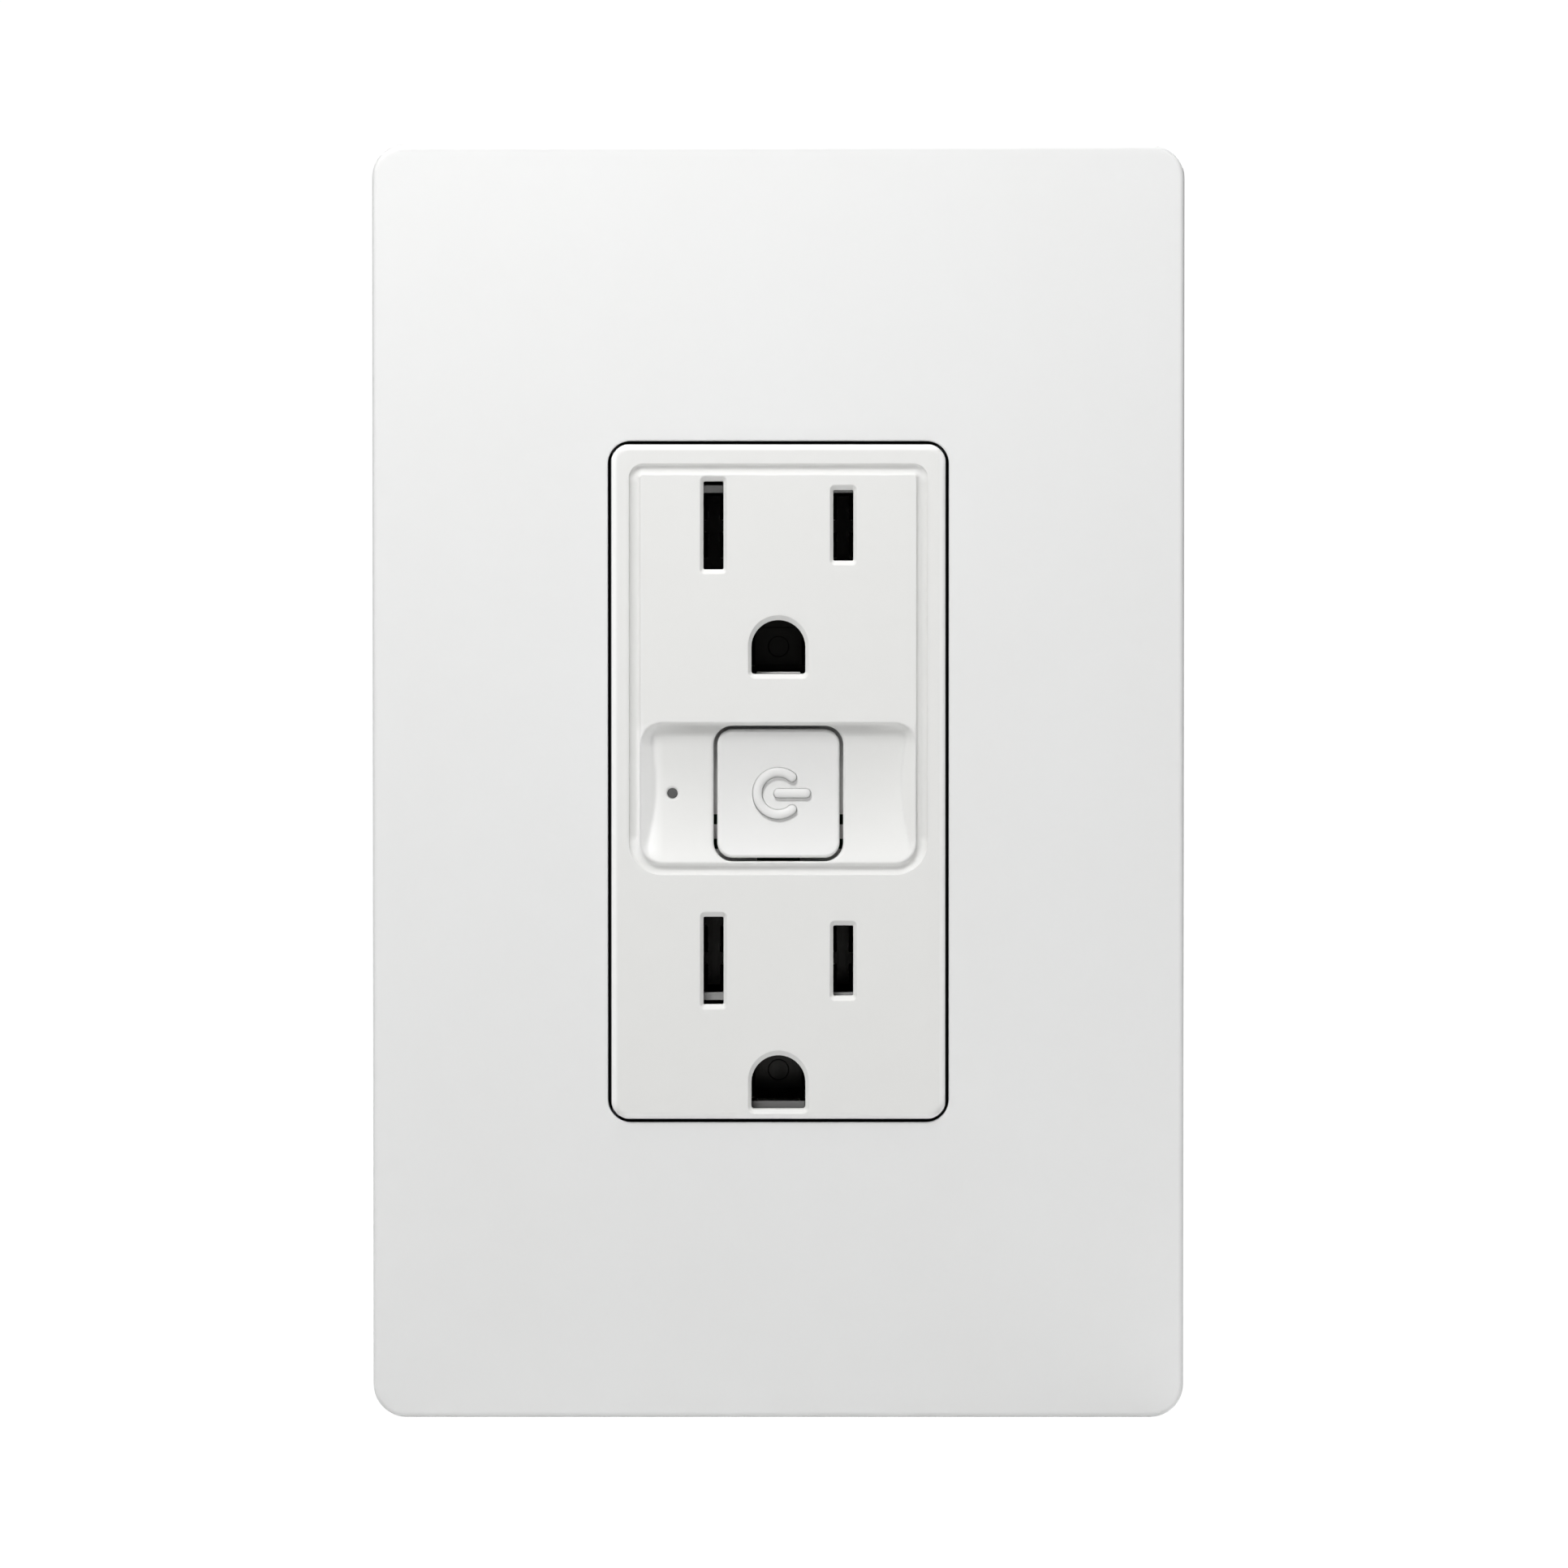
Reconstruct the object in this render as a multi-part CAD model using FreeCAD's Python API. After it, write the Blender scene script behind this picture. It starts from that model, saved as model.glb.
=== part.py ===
"""Controlled duplex receptacle with a push button, in a screwless wall plate.

Millimetres. X is to the right as seen from the room, Z is up and -Y faces the room.
The origin lies in the wall plane, midway between the two box screws.
"""
import FreeCAD, Part
import math
import os

V = FreeCAD.Vector

# Wall plate: a cover with a rim that reaches the wall.
plate_width = 79.4
plate_height = 124.6
plate_corner = 3.25
plate_depth = 6.4
plate_skin = 1.9
plate_rim = 1.8
plate_edge_round = 0.5
opening_margin = 0.28
opening_corner = 2.2
collar_wall = 1.2
peg_radius = 1.5
peg_x = 30.0
peg_z = 50.0
peg_socket_wall = 1.2

# Sub-plate: the frame that the wall plate pushes onto.
sub_thickness = 1.6
sub_skirt = 1.4
plate_screw_z = 49.6
plate_screw_reach = 4.0
driver_slot_width = 1.0
driver_slot_depth = 0.8

# Yoke strap and its screws.
strap_inset = 0.5
strap_length = 106.4
strap_thickness = 1.2
strap_corner = 4.0
box_screw_z = 41.67
box_slot_play = 0.35
box_slot_shift = 3.25
strap_notch_width = 1.2
strap_notch_length = 8.0
strap_notch_corner = 0.5
strap_notch_side = 3.0
strap_notch_end = 6.0
screw_radius = 1.75
box_screw_neck = 1.35
box_screw_length = 25.4
head_radius = 3.4
head_height = 2.0
head_cross_length = 4.2
head_cross_width = 0.8
head_cross_depth = 1.1
washer_radius = 3.4
washer_thickness = 0.8

# Face cover.
face_width = 32.8
face_height = 66.1
face_corner = 1.95
face_proud = 0.6
face_round = 0.7
face_skin = 2.0
face_wall = 1.6
face_sill = 0.85
flange_thickness = 2.0
flange_side = 5.1
flange_end = 2.7

# Plug openings.
blade_spacing = 12.7
slot_width = 1.97
neutral_slot = 8.62
hot_slot = 6.92
slot_corner = 0.15
blade_height = 6.35
upper_blades_z = 25.09
outlet_pitch = 42.59
ground_drop = 11.9
ground_radius = 2.64
ground_corner = 0.3
lead_in_end = 0.47
lead_in_side = 0.33
lead_in_depth = 0.4

# Groove round the upper outlet and the control trough.
groove_width = 28.1
groove_top = 30.55
groove_bottom = -8.55
groove_section = 0.58
groove_lift = 0.18
groove_top_corner = 0.85
groove_bottom_corner = 2.65

# Control trough, button and indicator.
trough_width = 27.0
trough_floor_width = 23.6
trough_top = 5.8
trough_bottom = -7.94
trough_corner = 2.2
trough_wall_foot = 1.3
trough_wall_bulge = (0.62, 0.45)
trough_wall_depth = 1.05
trough_depth = 1.6
trough_backing = 1.0
trough_pad_margin = 1.0
button_width = 11.98
button_height = 12.56
button_corner = 1.5
button_z = -1.14
button_gap = 0.36
button_travel = 0.5
button_flange = 0.75
button_flange_thickness = 0.7
button_round = 0.25
button_cap_depth = 1.2
button_notch_drops = (2.6, 5.0)
button_notch_height = 1.0
button_notch_inside = 0.6
button_notch_outside = 1.2
button_foot_notch = 4.2
symbol_ring_radius = 2.065
symbol_line = 1.0
symbol_height = 0.25
symbol_opening = 50.0
symbol_bar_start = 0.0
symbol_bar_end = 2.7
light_x = -10.38
light_radius = 0.465
light_collar_radius = 0.9
light_gap = 0.1
middle_above = 3.5
middle_below = 4.4
middle_side = 0.7

# Contact carrier and contacts.
carrier_depth = 16.3
carrier_front_web = 1.7
carrier_relief = 0.38
contact_stock = 0.6
contact_pinch = 0.62
contact_mouth = 1.2
contact_back = 1.3
contact_tine_gap = 1.2
contact_pocket = 2.3
contact_bend = 5.4
contact_grip = (2.0, 3.4)
contact_tine_root = 4.0
contact_tail_z = 2.0
strip_thickness = 0.8
strip_width = 4.0
ground_contact_height = 3.8
ground_contact_pinch = 2.3
ground_contact_flare = 0.6
ground_contact_grip = (3.0, 4.5)
ground_contact_bend = 9.0
ground_strip_width = 7.0
ground_strip_gap = 2.8
ground_tenon_shoulder = 1.0
rivet_radius = 1.0
rivet_head_radius = 1.6
rivet_head_height = 0.6

# Rear body.
body_lip = 0.25
body_corner = 2.5
body_wall = 1.8
body_round = 1.0
panel_width = 25.0
panel_height = 26.0
panel_sink = 0.35
panel_corner = 1.0
panel_z = 12.0
strip_gauge = 15.9
strip_gauge_width = 2.4
boss_inset_x = 3.5
boss_inset_z = 3.15
boss_radius = 2.3
boss_length = 4.0
body_screw_radius = 1.25
body_screw_head = 2.2
body_screw_head_height = 1.8
body_screw_round = 0.6
body_cross_length = 3.2
body_cross_width = 0.6
body_cross_depth = 1.0
boss_skin = 0.7
boss_wall = 0.7
carrier_stop_width = 3.0
carrier_stop_height = 2.6

# Side terminals.
wire_hole_length = 9.0
terminal_z = -20.0
terminal_pocket = 10.0
terminal_plate_x = 15.0
terminal_plate_thickness = 1.2
wire_gap = 2.2
clamp_thickness = 1.2
clamp_size = 9.2
clamp_travel = 2.0
wire_hole_radius = 1.2
wire_hole_offset = 3.2
terminal_wall = 1.2
tail_inset = 0.2
tail_width = 3.3
tail_rise = 3.5
tail_reach = 0.6

# Ground terminal, on a tab lanced from the strap.
ground_tab_x = 12.5
ground_tab_width = 10.0
ground_tab_length = 12.0
ground_tab_gap = 0.2
ground_screw_y = 6.5

# Circuit boards and what they carry.
board_thickness = 1.6
control_board_y = -0.6
control_board_margin = 0.3
board_ledge = 1.5
power_board_gap = 1.2
power_board_width = 39.0
power_board_bottom = -12.5
power_board_top = 27.5
post_radius = 2.0
post_inset = 1.2
post_lift = 6.0
post_drop = 1.0
pin_radius = 0.35
pin_pitch = 1.27
pin_stub = 0.5
header_rows = 2
header_columns = 3
header_side = 1.9
header_drop = 3.2
tact_size = 6.0
tact_height = 1.5
tact_corner = 0.3
tact_floor = 0.4
plunger_radius = 1.6
led_width = 1.6
led_height = 0.8
led_thickness = 0.7
radio_thickness = 0.8
radio_side = 7.5
radio_foot = 2.0
radio_head = 1.8
shield_margin = 1.0
shield_height = 2.2
shield_wall = 0.3
antenna_length = 4.0
relay_side = 5.6
relay_end = 1.2
relay_width = 12.7
relay_length = 24.0
relay_height = 13.5
relay_wall = 0.9
relay_opening = 5.0
relay_room = 2.1
coil_z = 14.88
coil_radius = 3.6
coil_height = 9.4
coil_flange = 9.6
coil_flange_thickness = 1.0
coil_flange_corner = 0.8
coil_core_radius = 1.6
coil_core_proud = 0.5
relay_yoke_drop = 6.0
relay_yoke_side = 2.2
relay_yoke_thickness = 1.0
flap_side = 2.0
flap_thickness = 0.8
flap_heel = 0.4
flap_length = 12.0
transformer_side = 5.0
transformer_end = 1.5
transformer_width = 13.0
transformer_height = 12.0
core_inset = 3.0
winding_width = 7.4
winding_length = 10.0
winding_inset = 2.2
winding_corner = 1.4
capacitor_radius = 3.4
capacitor_length = 11.0
capacitor_side = 6.0
capacitor_space = 0.6
capacitor_lift = 9.4
capacitor_bung = 1.0
capacitor_bung_step = 0.4
film_width = 5.0
film_length = 12.0
film_height = 9.0
film_corner = 0.5
film_z = 8.0
varistor_x = 5.5
varistor_z = 5.0
varistor_radius = 4.2
varistor_thickness = 3.2
varistor_lift = 4.6
varistor_leg_radius = 0.35
varistor_leg_length = 1.5
varistor_leg_pitch = 4.8
fuse_x = 9.0
fuse_z = 3.0
fuse_lift = 1.7
fuse_radius = 1.6
fuse_length = 8.0
fuse_leg_radius = 0.3
fuse_leg_pitch = 6.4
chip_x = 9.5
chip_z = 6.5
chip_width = 4.0
chip_length = 5.0
chip_height = 1.6

# Fits.
loose = 0.3
snug = 0.1
running = 0.05
arc_flat = 0.01

# Places that follow from the sizes.
face_front = -(plate_depth + face_proud)
face_inner = face_front + face_skin
strap_front = -strap_thickness
flange_front = strap_front - flange_thickness
flange_width = face_width + 2 * flange_side
flange_height = face_height + 2 * flange_end
sub_front = strap_front - sub_thickness
strap_width = flange_width - 2 * strap_inset
body_width = flange_width + 2 * body_lip
body_height = flange_height + 2 * body_lip
boss_x = flange_width / 2 - boss_inset_x
boss_z = flange_height / 2 - boss_inset_z
plate_inner = plate_skin - plate_depth
opening_width = face_width + 2 * opening_margin
opening_height = face_height + 2 * opening_margin
hollow_half = face_width / 2 - face_wall
hollow_top = face_height / 2 - face_wall
hollow_bottom = -face_height / 2 + face_sill
carrier_half = hollow_half - loose
carrier_top = hollow_top - loose
carrier_bottom = hollow_bottom + loose
carrier_front = face_inner + snug
carrier_back = carrier_front + carrier_depth
window_half = carrier_half + loose
window_top = carrier_top + loose
window_bottom = carrier_bottom - 3 * loose
lower_blades_z = upper_blades_z - outlet_pitch
outlets = (upper_blades_z, lower_blades_z)
neutral_x = -blade_spacing / 2
hot_x = blade_spacing / 2
cavity_half = body_width / 2 - body_wall
cavity_end = body_height / 2 - body_wall
ground_strip_y = carrier_back + strip_thickness + ground_strip_gap
power_board_y = ground_strip_y + strip_thickness + power_board_gap
power_board_back = power_board_y + board_thickness
cavity_back = power_board_back + relay_height + relay_room
body_depth = cavity_back + body_wall
terminal_y = body_depth - wire_hole_length - terminal_pocket / 2
backing_back = face_inner + trough_backing
flange_rest_y = backing_back + snug
button_top = button_z + button_height / 2
button_bottom = button_z - button_height / 2
flange_play = button_gap + button_flange
middle_top = button_top + middle_above
middle_bottom = button_bottom - middle_below
board_top = middle_top - control_board_margin
board_bottom = middle_bottom + control_board_margin
middle_half = carrier_half - middle_side
board_half = middle_half - control_board_margin
clamp_x = terminal_plate_x + terminal_plate_thickness + wire_gap
screw_head_x = clamp_x + clamp_thickness
pocket_floor_x = terminal_plate_x - clamp_travel - 2 * loose
tab_outer = -(body_height / 2 + ground_tab_gap + strap_thickness)
ground_clamp_z = tab_outer - wire_gap
body_screw_seat = body_depth - body_screw_head_height - loose
can_pitch = 2 * capacitor_radius + capacitor_space
last_can_x = -power_board_width / 2 + capacitor_side + can_pitch


def box(x0, x1, y0, y1, z0, z1):
    return Part.makeBox(x1 - x0, y1 - y0, z1 - z0, V(x0, y0, z0))


def rod(radius, start, end):
    first = V(*start)
    run = V(*end) - first
    return Part.makeCylinder(radius, run.Length, first, run)


def join(first, *others):
    for other in others:
        first = first.fuse(other)
    return first.removeSplitter()


def rounded_wire(x0, x1, z0, z1, y, top, bottom=None):
    """A rounded rectangle in a plane of constant y, with its own radius at the top and bottom."""
    bottom = top if bottom is None else bottom
    corners = [
        (x1 - top, z1 - top, top, 0),
        (x0 + top, z1 - top, top, 90),
        (x0 + bottom, z0 + bottom, bottom, 180),
        (x1 - bottom, z0 + bottom, bottom, 270),
    ]
    arcs = []
    for cx, cz, radius, start in corners:
        turns = [math.radians(start + step) for step in (0, 45, 90)]
        arcs.append([V(cx + radius * math.cos(t), y, cz + radius * math.sin(t)) for t in turns])
    edges = []
    for arc, following in zip(arcs, arcs[1:] + arcs[:1]):
        edges.append(Part.Arc(*arc).toShape())
        edges.append(Part.LineSegment(arc[2], following[0]).toShape())
    return Part.Wire(edges)


def slab(width, height, y0, y1, corner, x=0.0, z=0.0):
    """A rounded rectangle centred on x and z, from y0 to y1."""
    outline = rounded_wire(x - width / 2, x + width / 2, z - height / 2, z + height / 2, y0, corner)
    return Part.Face(outline).extrude(V(0, y1 - y0, 0))


def dome_wire(radius, z, y, grow_side=0.0, grow_end=0.0):
    """The ground opening: an arch on top, straight sides and a flat foot with small corners."""
    r = radius + grow_side
    foot = z - radius - grow_end
    corner = ground_corner + grow_side
    k = corner * (1 - math.sqrt(0.5))
    left = [V(-r, y, z), V(-r, y, foot + corner)]
    right = [V(r, y, foot + corner), V(r, y, z)]
    foot_left = [V(-r, y, foot + corner), V(-r + k, y, foot + k), V(-r + corner, y, foot)]
    foot_right = [V(r - corner, y, foot), V(r - k, y, foot + k), V(r, y, foot + corner)]
    edges = [
        Part.Arc(V(r, y, z), V(0, y, z + radius + grow_end), V(-r, y, z)).toShape(),
        Part.LineSegment(*left).toShape(),
        Part.Arc(*foot_left).toShape(),
        Part.LineSegment(foot_left[2], foot_right[0]).toShape(),
        Part.Arc(*foot_right).toShape(),
        Part.LineSegment(*right).toShape(),
    ]
    return Part.Wire(edges)


def through(wire, y0, y1):
    """A prism on an outline, from y0 to y1."""
    prism = Part.Face(wire).extrude(V(0, y1 - y0, 0))
    prism.translate(V(0, y0 - wire.BoundBox.YMin, 0))
    return prism


def rounded_front(shape, y, radius):
    """Rounds the edges that lie in the plane y."""
    rim = [e for e in shape.Edges if all(abs(v.Point.y - y) < 1e-6 for v in e.Vertexes)]
    return shape.makeFillet(radius, rim)


def save(name, *solids):
    shape = solids[0] if len(solids) == 1 else Part.makeCompound(list(solids))
    shape.exportStep("parts/" + name + ".step")


def pan_screw(radius, head, tip, out):
    """A pan-head screw: head is the centre of the bearing face and out points away from the shank."""
    crown = V(*head) + V(*out) * head_height
    cap = Part.makeCylinder(head_radius, head_height, V(*head), V(*out))
    rim = [e for e in cap.Edges if abs((e.CenterOfMass - crown).dot(V(*out))) < 1e-6]
    cap = cap.makeFillet(head_height / 2, rim)
    across = V(out[1], out[2], out[0])
    along = V(*out).cross(across)
    for first, second in ((across, along), (along, across)):
        reach = first * head_cross_length + second * head_cross_width
        corner = crown - reach / 2 - V(*out) * head_cross_depth
        reach = reach + V(*out) * (head_cross_depth + snug)
        low = [min(a, a + b) for a, b in zip(corner, reach)]
        high = [max(a, a + b) for a, b in zip(corner, reach)]
        cap = cap.cut(box(low[0], high[0], low[1], high[1], low[2], high[2]))
    return cap.fuse(rod(radius, head, tip))


def wall_plate():
    shell = slab(plate_width, plate_height, -plate_depth, 0, plate_corner)
    shell = rounded_front(shell, -plate_depth, plate_edge_round)
    inside = plate_width - 2 * plate_rim, plate_height - 2 * plate_rim
    shell = shell.cut(slab(*inside, plate_inner, 0, plate_corner - plate_rim))
    collar = slab(opening_width + 2 * collar_wall, opening_height + 2 * collar_wall, plate_inner,
                  flange_front - loose, opening_corner + collar_wall)
    shell = shell.fuse(collar)
    shell = shell.cut(slab(opening_width, opening_height, -plate_depth, 0, opening_corner))
    for side in (-1, 1):
        for end in (-1, 1):
            foot = side * peg_x, strap_front, end * peg_z
            shell = shell.fuse(rod(peg_radius, (side * peg_x, plate_inner, end * peg_z), foot))
    return shell.removeSplitter()


def sub_plate():
    width = plate_width - 2 * (plate_rim + loose)
    height = plate_height - 2 * (plate_rim + loose)
    corner = plate_corner - plate_rim
    frame = slab(width, height, sub_front, 0, corner)
    under = slab(width - 2 * sub_skirt, height - 2 * sub_skirt, strap_front, 0, corner / 2)
    frame = frame.cut(under)
    seat = slab(flange_width + 4 * loose, flange_height + 4 * loose, sub_front, 0, opening_corner)
    frame = frame.cut(seat)
    head_space = head_radius + 2 * loose
    for end in (-1, 1):
        frame = frame.cut(rod(head_space, (0, sub_front, end * box_screw_z), (0, 0, end * box_screw_z)))
        low, high = sorted((end * flange_height / 2, end * box_screw_z))
        frame = frame.cut(box(-head_space, head_space, sub_front, 0, low, high))
        hole = 0, sub_front, end * plate_screw_z
        frame = frame.cut(rod(screw_radius + snug, hole, (0, 0, end * plate_screw_z)))
        sink = Part.makeCone(head_radius + snug, screw_radius + snug, sub_thickness, V(*hole), V(0, 1, 0))
        frame = frame.cut(sink)
        for side in (-1, 1):
            peg = side * peg_x, plate_inner + loose, end * peg_z
            foot = side * peg_x, strap_front, end * peg_z
            frame = frame.fuse(rod(peg_radius + peg_socket_wall, peg, foot))
            frame = frame.cut(rod(peg_radius + running, peg, foot))
    return frame.removeSplitter()


def plate_screws():
    screws = []
    for end in (-1, 1):
        z = end * plate_screw_z
        head = Part.makeCone(head_radius, screw_radius, sub_thickness, V(0, sub_front, z), V(0, 1, 0))
        shank = rod(screw_radius, (0, sub_front, z), (0, plate_screw_reach, z))
        half = driver_slot_width / 2
        slot = box(-head_radius, head_radius, sub_front, sub_front + driver_slot_depth, z - half, z + half)
        screws.append(head.fuse(shank).cut(slot))
    return screws


def tab_opening():
    reach = tab_outer - ground_tab_length + strap_thickness
    side = ground_tab_width / 2
    return box(ground_tab_x - side, ground_tab_x + side, strap_front, 0, reach, tab_outer)


def yoke_strap():
    strap = slab(strap_width, strap_length, strap_front, 0, strap_corner)
    strap = strap.cut(box(-window_half, window_half, strap_front, 0, window_bottom, window_top))
    for end in (-1, 1):
        z = end * box_screw_z
        end_radius = screw_radius + box_slot_play
        strap = strap.cut(slab(2 * end_radius + box_slot_shift, 2 * end_radius, strap_front, 0,
                               end_radius - arc_flat, 0, z))
        z = end * plate_screw_z
        strap = strap.cut(rod(screw_radius + running, (0, strap_front, z), (0, 0, z)))
        for side in (-1, 1):
            x = side * boss_x
            z = end * boss_z
            strap = strap.cut(rod(boss_radius + 2 * snug, (x, strap_front, z), (x, 0, z)))
            notch_x = side * (strap_width / 2 - strap_notch_side)
            notch_z = end * (strap_length / 2 - strap_notch_end)
            strap = strap.cut(slab(strap_notch_width, strap_notch_length, strap_front, 0,
                                   strap_notch_corner, notch_x, notch_z))
    slot = ground_strip_width / 2 - ground_tenon_shoulder + running
    top = window_bottom - running
    strap = strap.cut(box(-slot, slot, strap_front, 0, top - strip_thickness - running, top + running))
    strap = strap.cut(tab_opening())
    side = ground_tab_width / 2 - snug
    tab = box(ground_tab_x - side, ground_tab_x + side, strap_front, ground_tab_length,
              tab_outer, tab_outer + strap_thickness)
    hole = ground_tab_x, ground_screw_y, tab_outer
    tab = tab.cut(rod(screw_radius + running, hole, (hole[0], hole[1], tab_outer + strap_thickness)))
    return join(strap, tab)


def box_screws():
    """Screws with a plain neck through the strap and their thread behind it."""
    screws = []
    for end in (-1, 1):
        z = end * box_screw_z
        seat = strap_front - washer_thickness
        neck = pan_screw(box_screw_neck, (0, seat, z), (0, 0, z), (0, -1, 0))
        screws.append(neck.fuse(rod(screw_radius, (0, 0, z), (0, seat + box_screw_length, z))))
    return screws


def screw_retainers():
    """Fibre washers under the heads, small enough in the bore to stay on the neck."""
    washers = []
    for end in (-1, 1):
        z = end * box_screw_z
        seat = strap_front - washer_thickness
        disc = rod(washer_radius, (0, seat, z), (0, strap_front, z))
        washers.append(disc.cut(rod(box_screw_neck + running, (0, seat, z), (0, strap_front, z))))
    return washers


def trough_room(lift=0.0):
    """The air in front of the trough's floor; lift moves its surface towards the room."""
    top = face_front - lift
    foot_z = trough_top - trough_wall_foot
    bulge_depth, bulge_drop = trough_wall_bulge
    out = top - trough_depth
    air = [
        Part.LineSegment(V(0, out, trough_bottom), V(0, out, trough_top)).toShape(),
        Part.LineSegment(V(0, out, trough_top), V(0, top, trough_top)).toShape(),
        Part.Arc(V(0, top, trough_top), V(0, top + bulge_depth, trough_top - bulge_drop),
                 V(0, top + trough_wall_depth, foot_z)).toShape(),
        Part.Arc(V(0, top + trough_wall_depth, foot_z), V(0, top + trough_depth, button_z),
                 V(0, top, trough_bottom)).toShape(),
        Part.LineSegment(V(0, top, trough_bottom), V(0, out, trough_bottom)).toShape(),
    ]
    room = Part.Face(Part.Wire(air)).extrude(V(trough_width, 0, 0))
    room.translate(V(-trough_width / 2, 0, 0))
    return room


def trough():
    """The scoop in the face: the floor's curve, limited by sloping ends and rounded corners."""
    depth = face_front + trough_depth + loose
    half = trough_width / 2
    floor_half = trough_floor_width / 2
    rim = rounded_wire(-half, half, trough_bottom, trough_top, face_front, trough_corner)
    floor = rounded_wire(-floor_half, floor_half, trough_bottom + loose, trough_top - loose, depth,
                         trough_corner - loose)
    bowl = Part.makeLoft([rim, floor], True, True).fuse(through(rim, face_front - trough_depth, face_front))
    return bowl.common(trough_room())


def slot_tool(x, z, height):
    """A blade slot with its tapered lead-in."""
    half = slot_width / 2
    end = height / 2
    mouth = rounded_wire(x - half - lead_in_side, x + half + lead_in_side, z - end - lead_in_end,
                         z + end + lead_in_end, face_front, slot_corner + lead_in_side)
    throat = rounded_wire(x - half, x + half, z - end, z + end, face_front + lead_in_depth, slot_corner)
    return Part.makeLoft([mouth, throat], True, True).fuse(through(throat, face_front, face_inner))


def ground_tool(z):
    """A ground opening with its tapered lead-in."""
    mouth = dome_wire(ground_radius, z, face_front, lead_in_side, lead_in_end)
    throat = dome_wire(ground_radius, z, face_front + lead_in_depth)
    return Part.makeLoft([mouth, throat], True, True).fuse(through(throat, face_front, face_inner))


def groove_tool():
    half = groove_width / 2
    centre_y = face_front - groove_lift
    path = rounded_wire(-half, half, groove_bottom, groove_top, centre_y,
                        groove_top_corner, groove_bottom_corner)
    start = V(half, centre_y, groove_top - groove_top_corner)
    ring = Part.Wire(Part.makeCircle(groove_section, start, V(0, 0, 1)))
    return path.makePipeShell([ring], True, True)


def face_cover():
    block = slab(face_width, face_height, face_front, flange_front, face_corner)
    cover = rounded_front(block, face_front, face_round)
    cover = cover.fuse(slab(flange_width, flange_height, flange_front, strap_front, opening_corner))
    cover = cover.cut(box(-hollow_half, hollow_half, face_inner, strap_front, hollow_bottom, hollow_top))
    pad_half = trough_floor_width / 2 + trough_pad_margin
    cover = cover.fuse(box(-pad_half, pad_half, face_inner, backing_back,
                           trough_bottom, trough_top + trough_backing))
    for side in (-1, 1):
        for end in (-1, 1):
            x = side * boss_x
            z = end * boss_z
            cover = cover.fuse(rod(boss_radius, (x, strap_front, z), (x, boss_length, z)))
            pilot = x, flange_front + boss_skin, z
            cover = cover.cut(rod(body_screw_radius + running, pilot, (x, boss_length, z)))
    cover = cover.cut(trough()).cut(groove_tool())
    for z in outlets:
        cover = cover.cut(slot_tool(neutral_x, z, neutral_slot)).cut(slot_tool(hot_x, z, hot_slot))
        cover = cover.cut(ground_tool(z - ground_drop))
    cover = cover.cut(slab(button_width + 2 * button_gap, button_height + 2 * button_gap, face_front,
                           backing_back, button_corner + button_gap, 0, button_z))
    light = light_x, face_front, button_z
    cover = cover.cut(rod(light_radius + running, light, (light_x, backing_back, button_z)))
    return cover.removeSplitter()


def symbol(y0, y1):
    """The plain on-off sign, lying on its side: an open ring and a bar."""
    outer = symbol_ring_radius + symbol_line / 2
    inner = symbol_ring_radius - symbol_line / 2
    z = button_z
    ring = rod(outer, (0, y0, z), (0, y1, z)).cut(rod(inner, (0, y0, z), (0, y1, z)))
    turn = math.radians(symbol_opening)
    reach = 2 * outer
    gap = [V(0, y0, z), V(reach * math.cos(turn), y0, z + reach * math.sin(turn)),
           V(reach * math.cos(turn), y0, z - reach * math.sin(turn)), V(0, y0, z)]
    sign = ring.cut(Part.Face(Part.makePolygon(gap)).extrude(V(0, y1 - y0, 0)))
    for way in (-1, 1):
        x = symbol_ring_radius * math.cos(turn)
        end_z = z + way * symbol_ring_radius * math.sin(turn)
        sign = sign.fuse(rod(symbol_line / 2, (x, y0, end_z), (x, y1, end_z)))
    bar_length = symbol_bar_end - symbol_bar_start + symbol_line
    bar_middle = (symbol_bar_start + symbol_bar_end) / 2
    return sign.fuse(slab(bar_length, symbol_line, y0, y1, symbol_line / 2 - arc_flat, bar_middle, z))


def power_button():
    cap = slab(button_width, button_height, face_front, flange_rest_y, button_corner, 0, button_z)
    cap = cap.cut(trough_room())
    front = [e for e in cap.Edges if all(v.Point.y < flange_rest_y - 1e-6 for v in e.Vertexes)
             and abs(e.BoundBox.YMax - e.BoundBox.YMin) < button_cap_depth]
    cap = cap.makeFillet(button_round, front)
    sign = symbol(face_front - symbol_height, flange_rest_y).cut(trough_room(symbol_height))
    flange = slab(button_width + 2 * flange_play, button_height + 2 * flange_play, flange_rest_y,
                  flange_rest_y + button_flange_thickness, button_corner + flange_play, 0, button_z)
    notch_x = button_width / 2 + button_gap / 2
    for side in (-1, 1):
        for drop in button_notch_drops:
            z = button_z - drop
            half = button_notch_height / 2
            notch = box(notch_x - button_notch_inside, notch_x + button_notch_outside, flange_rest_y, 0,
                        z - half, z + half)
            if side < 0:
                notch = notch.mirror(V(0, 0, 0), V(1, 0, 0))
            flange = flange.cut(notch)
    half = button_foot_notch / 2
    flange = flange.cut(box(-half, half, flange_rest_y, 0, button_bottom - 2 * flange_play, button_bottom))
    stem = rod(plunger_radius, (0, flange_rest_y, button_z), (0, plunger_front(), button_z))
    return join(cap, sign, flange, stem)


def plunger_front():
    return control_board_y - tact_height - 1.5 * button_travel


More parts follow.
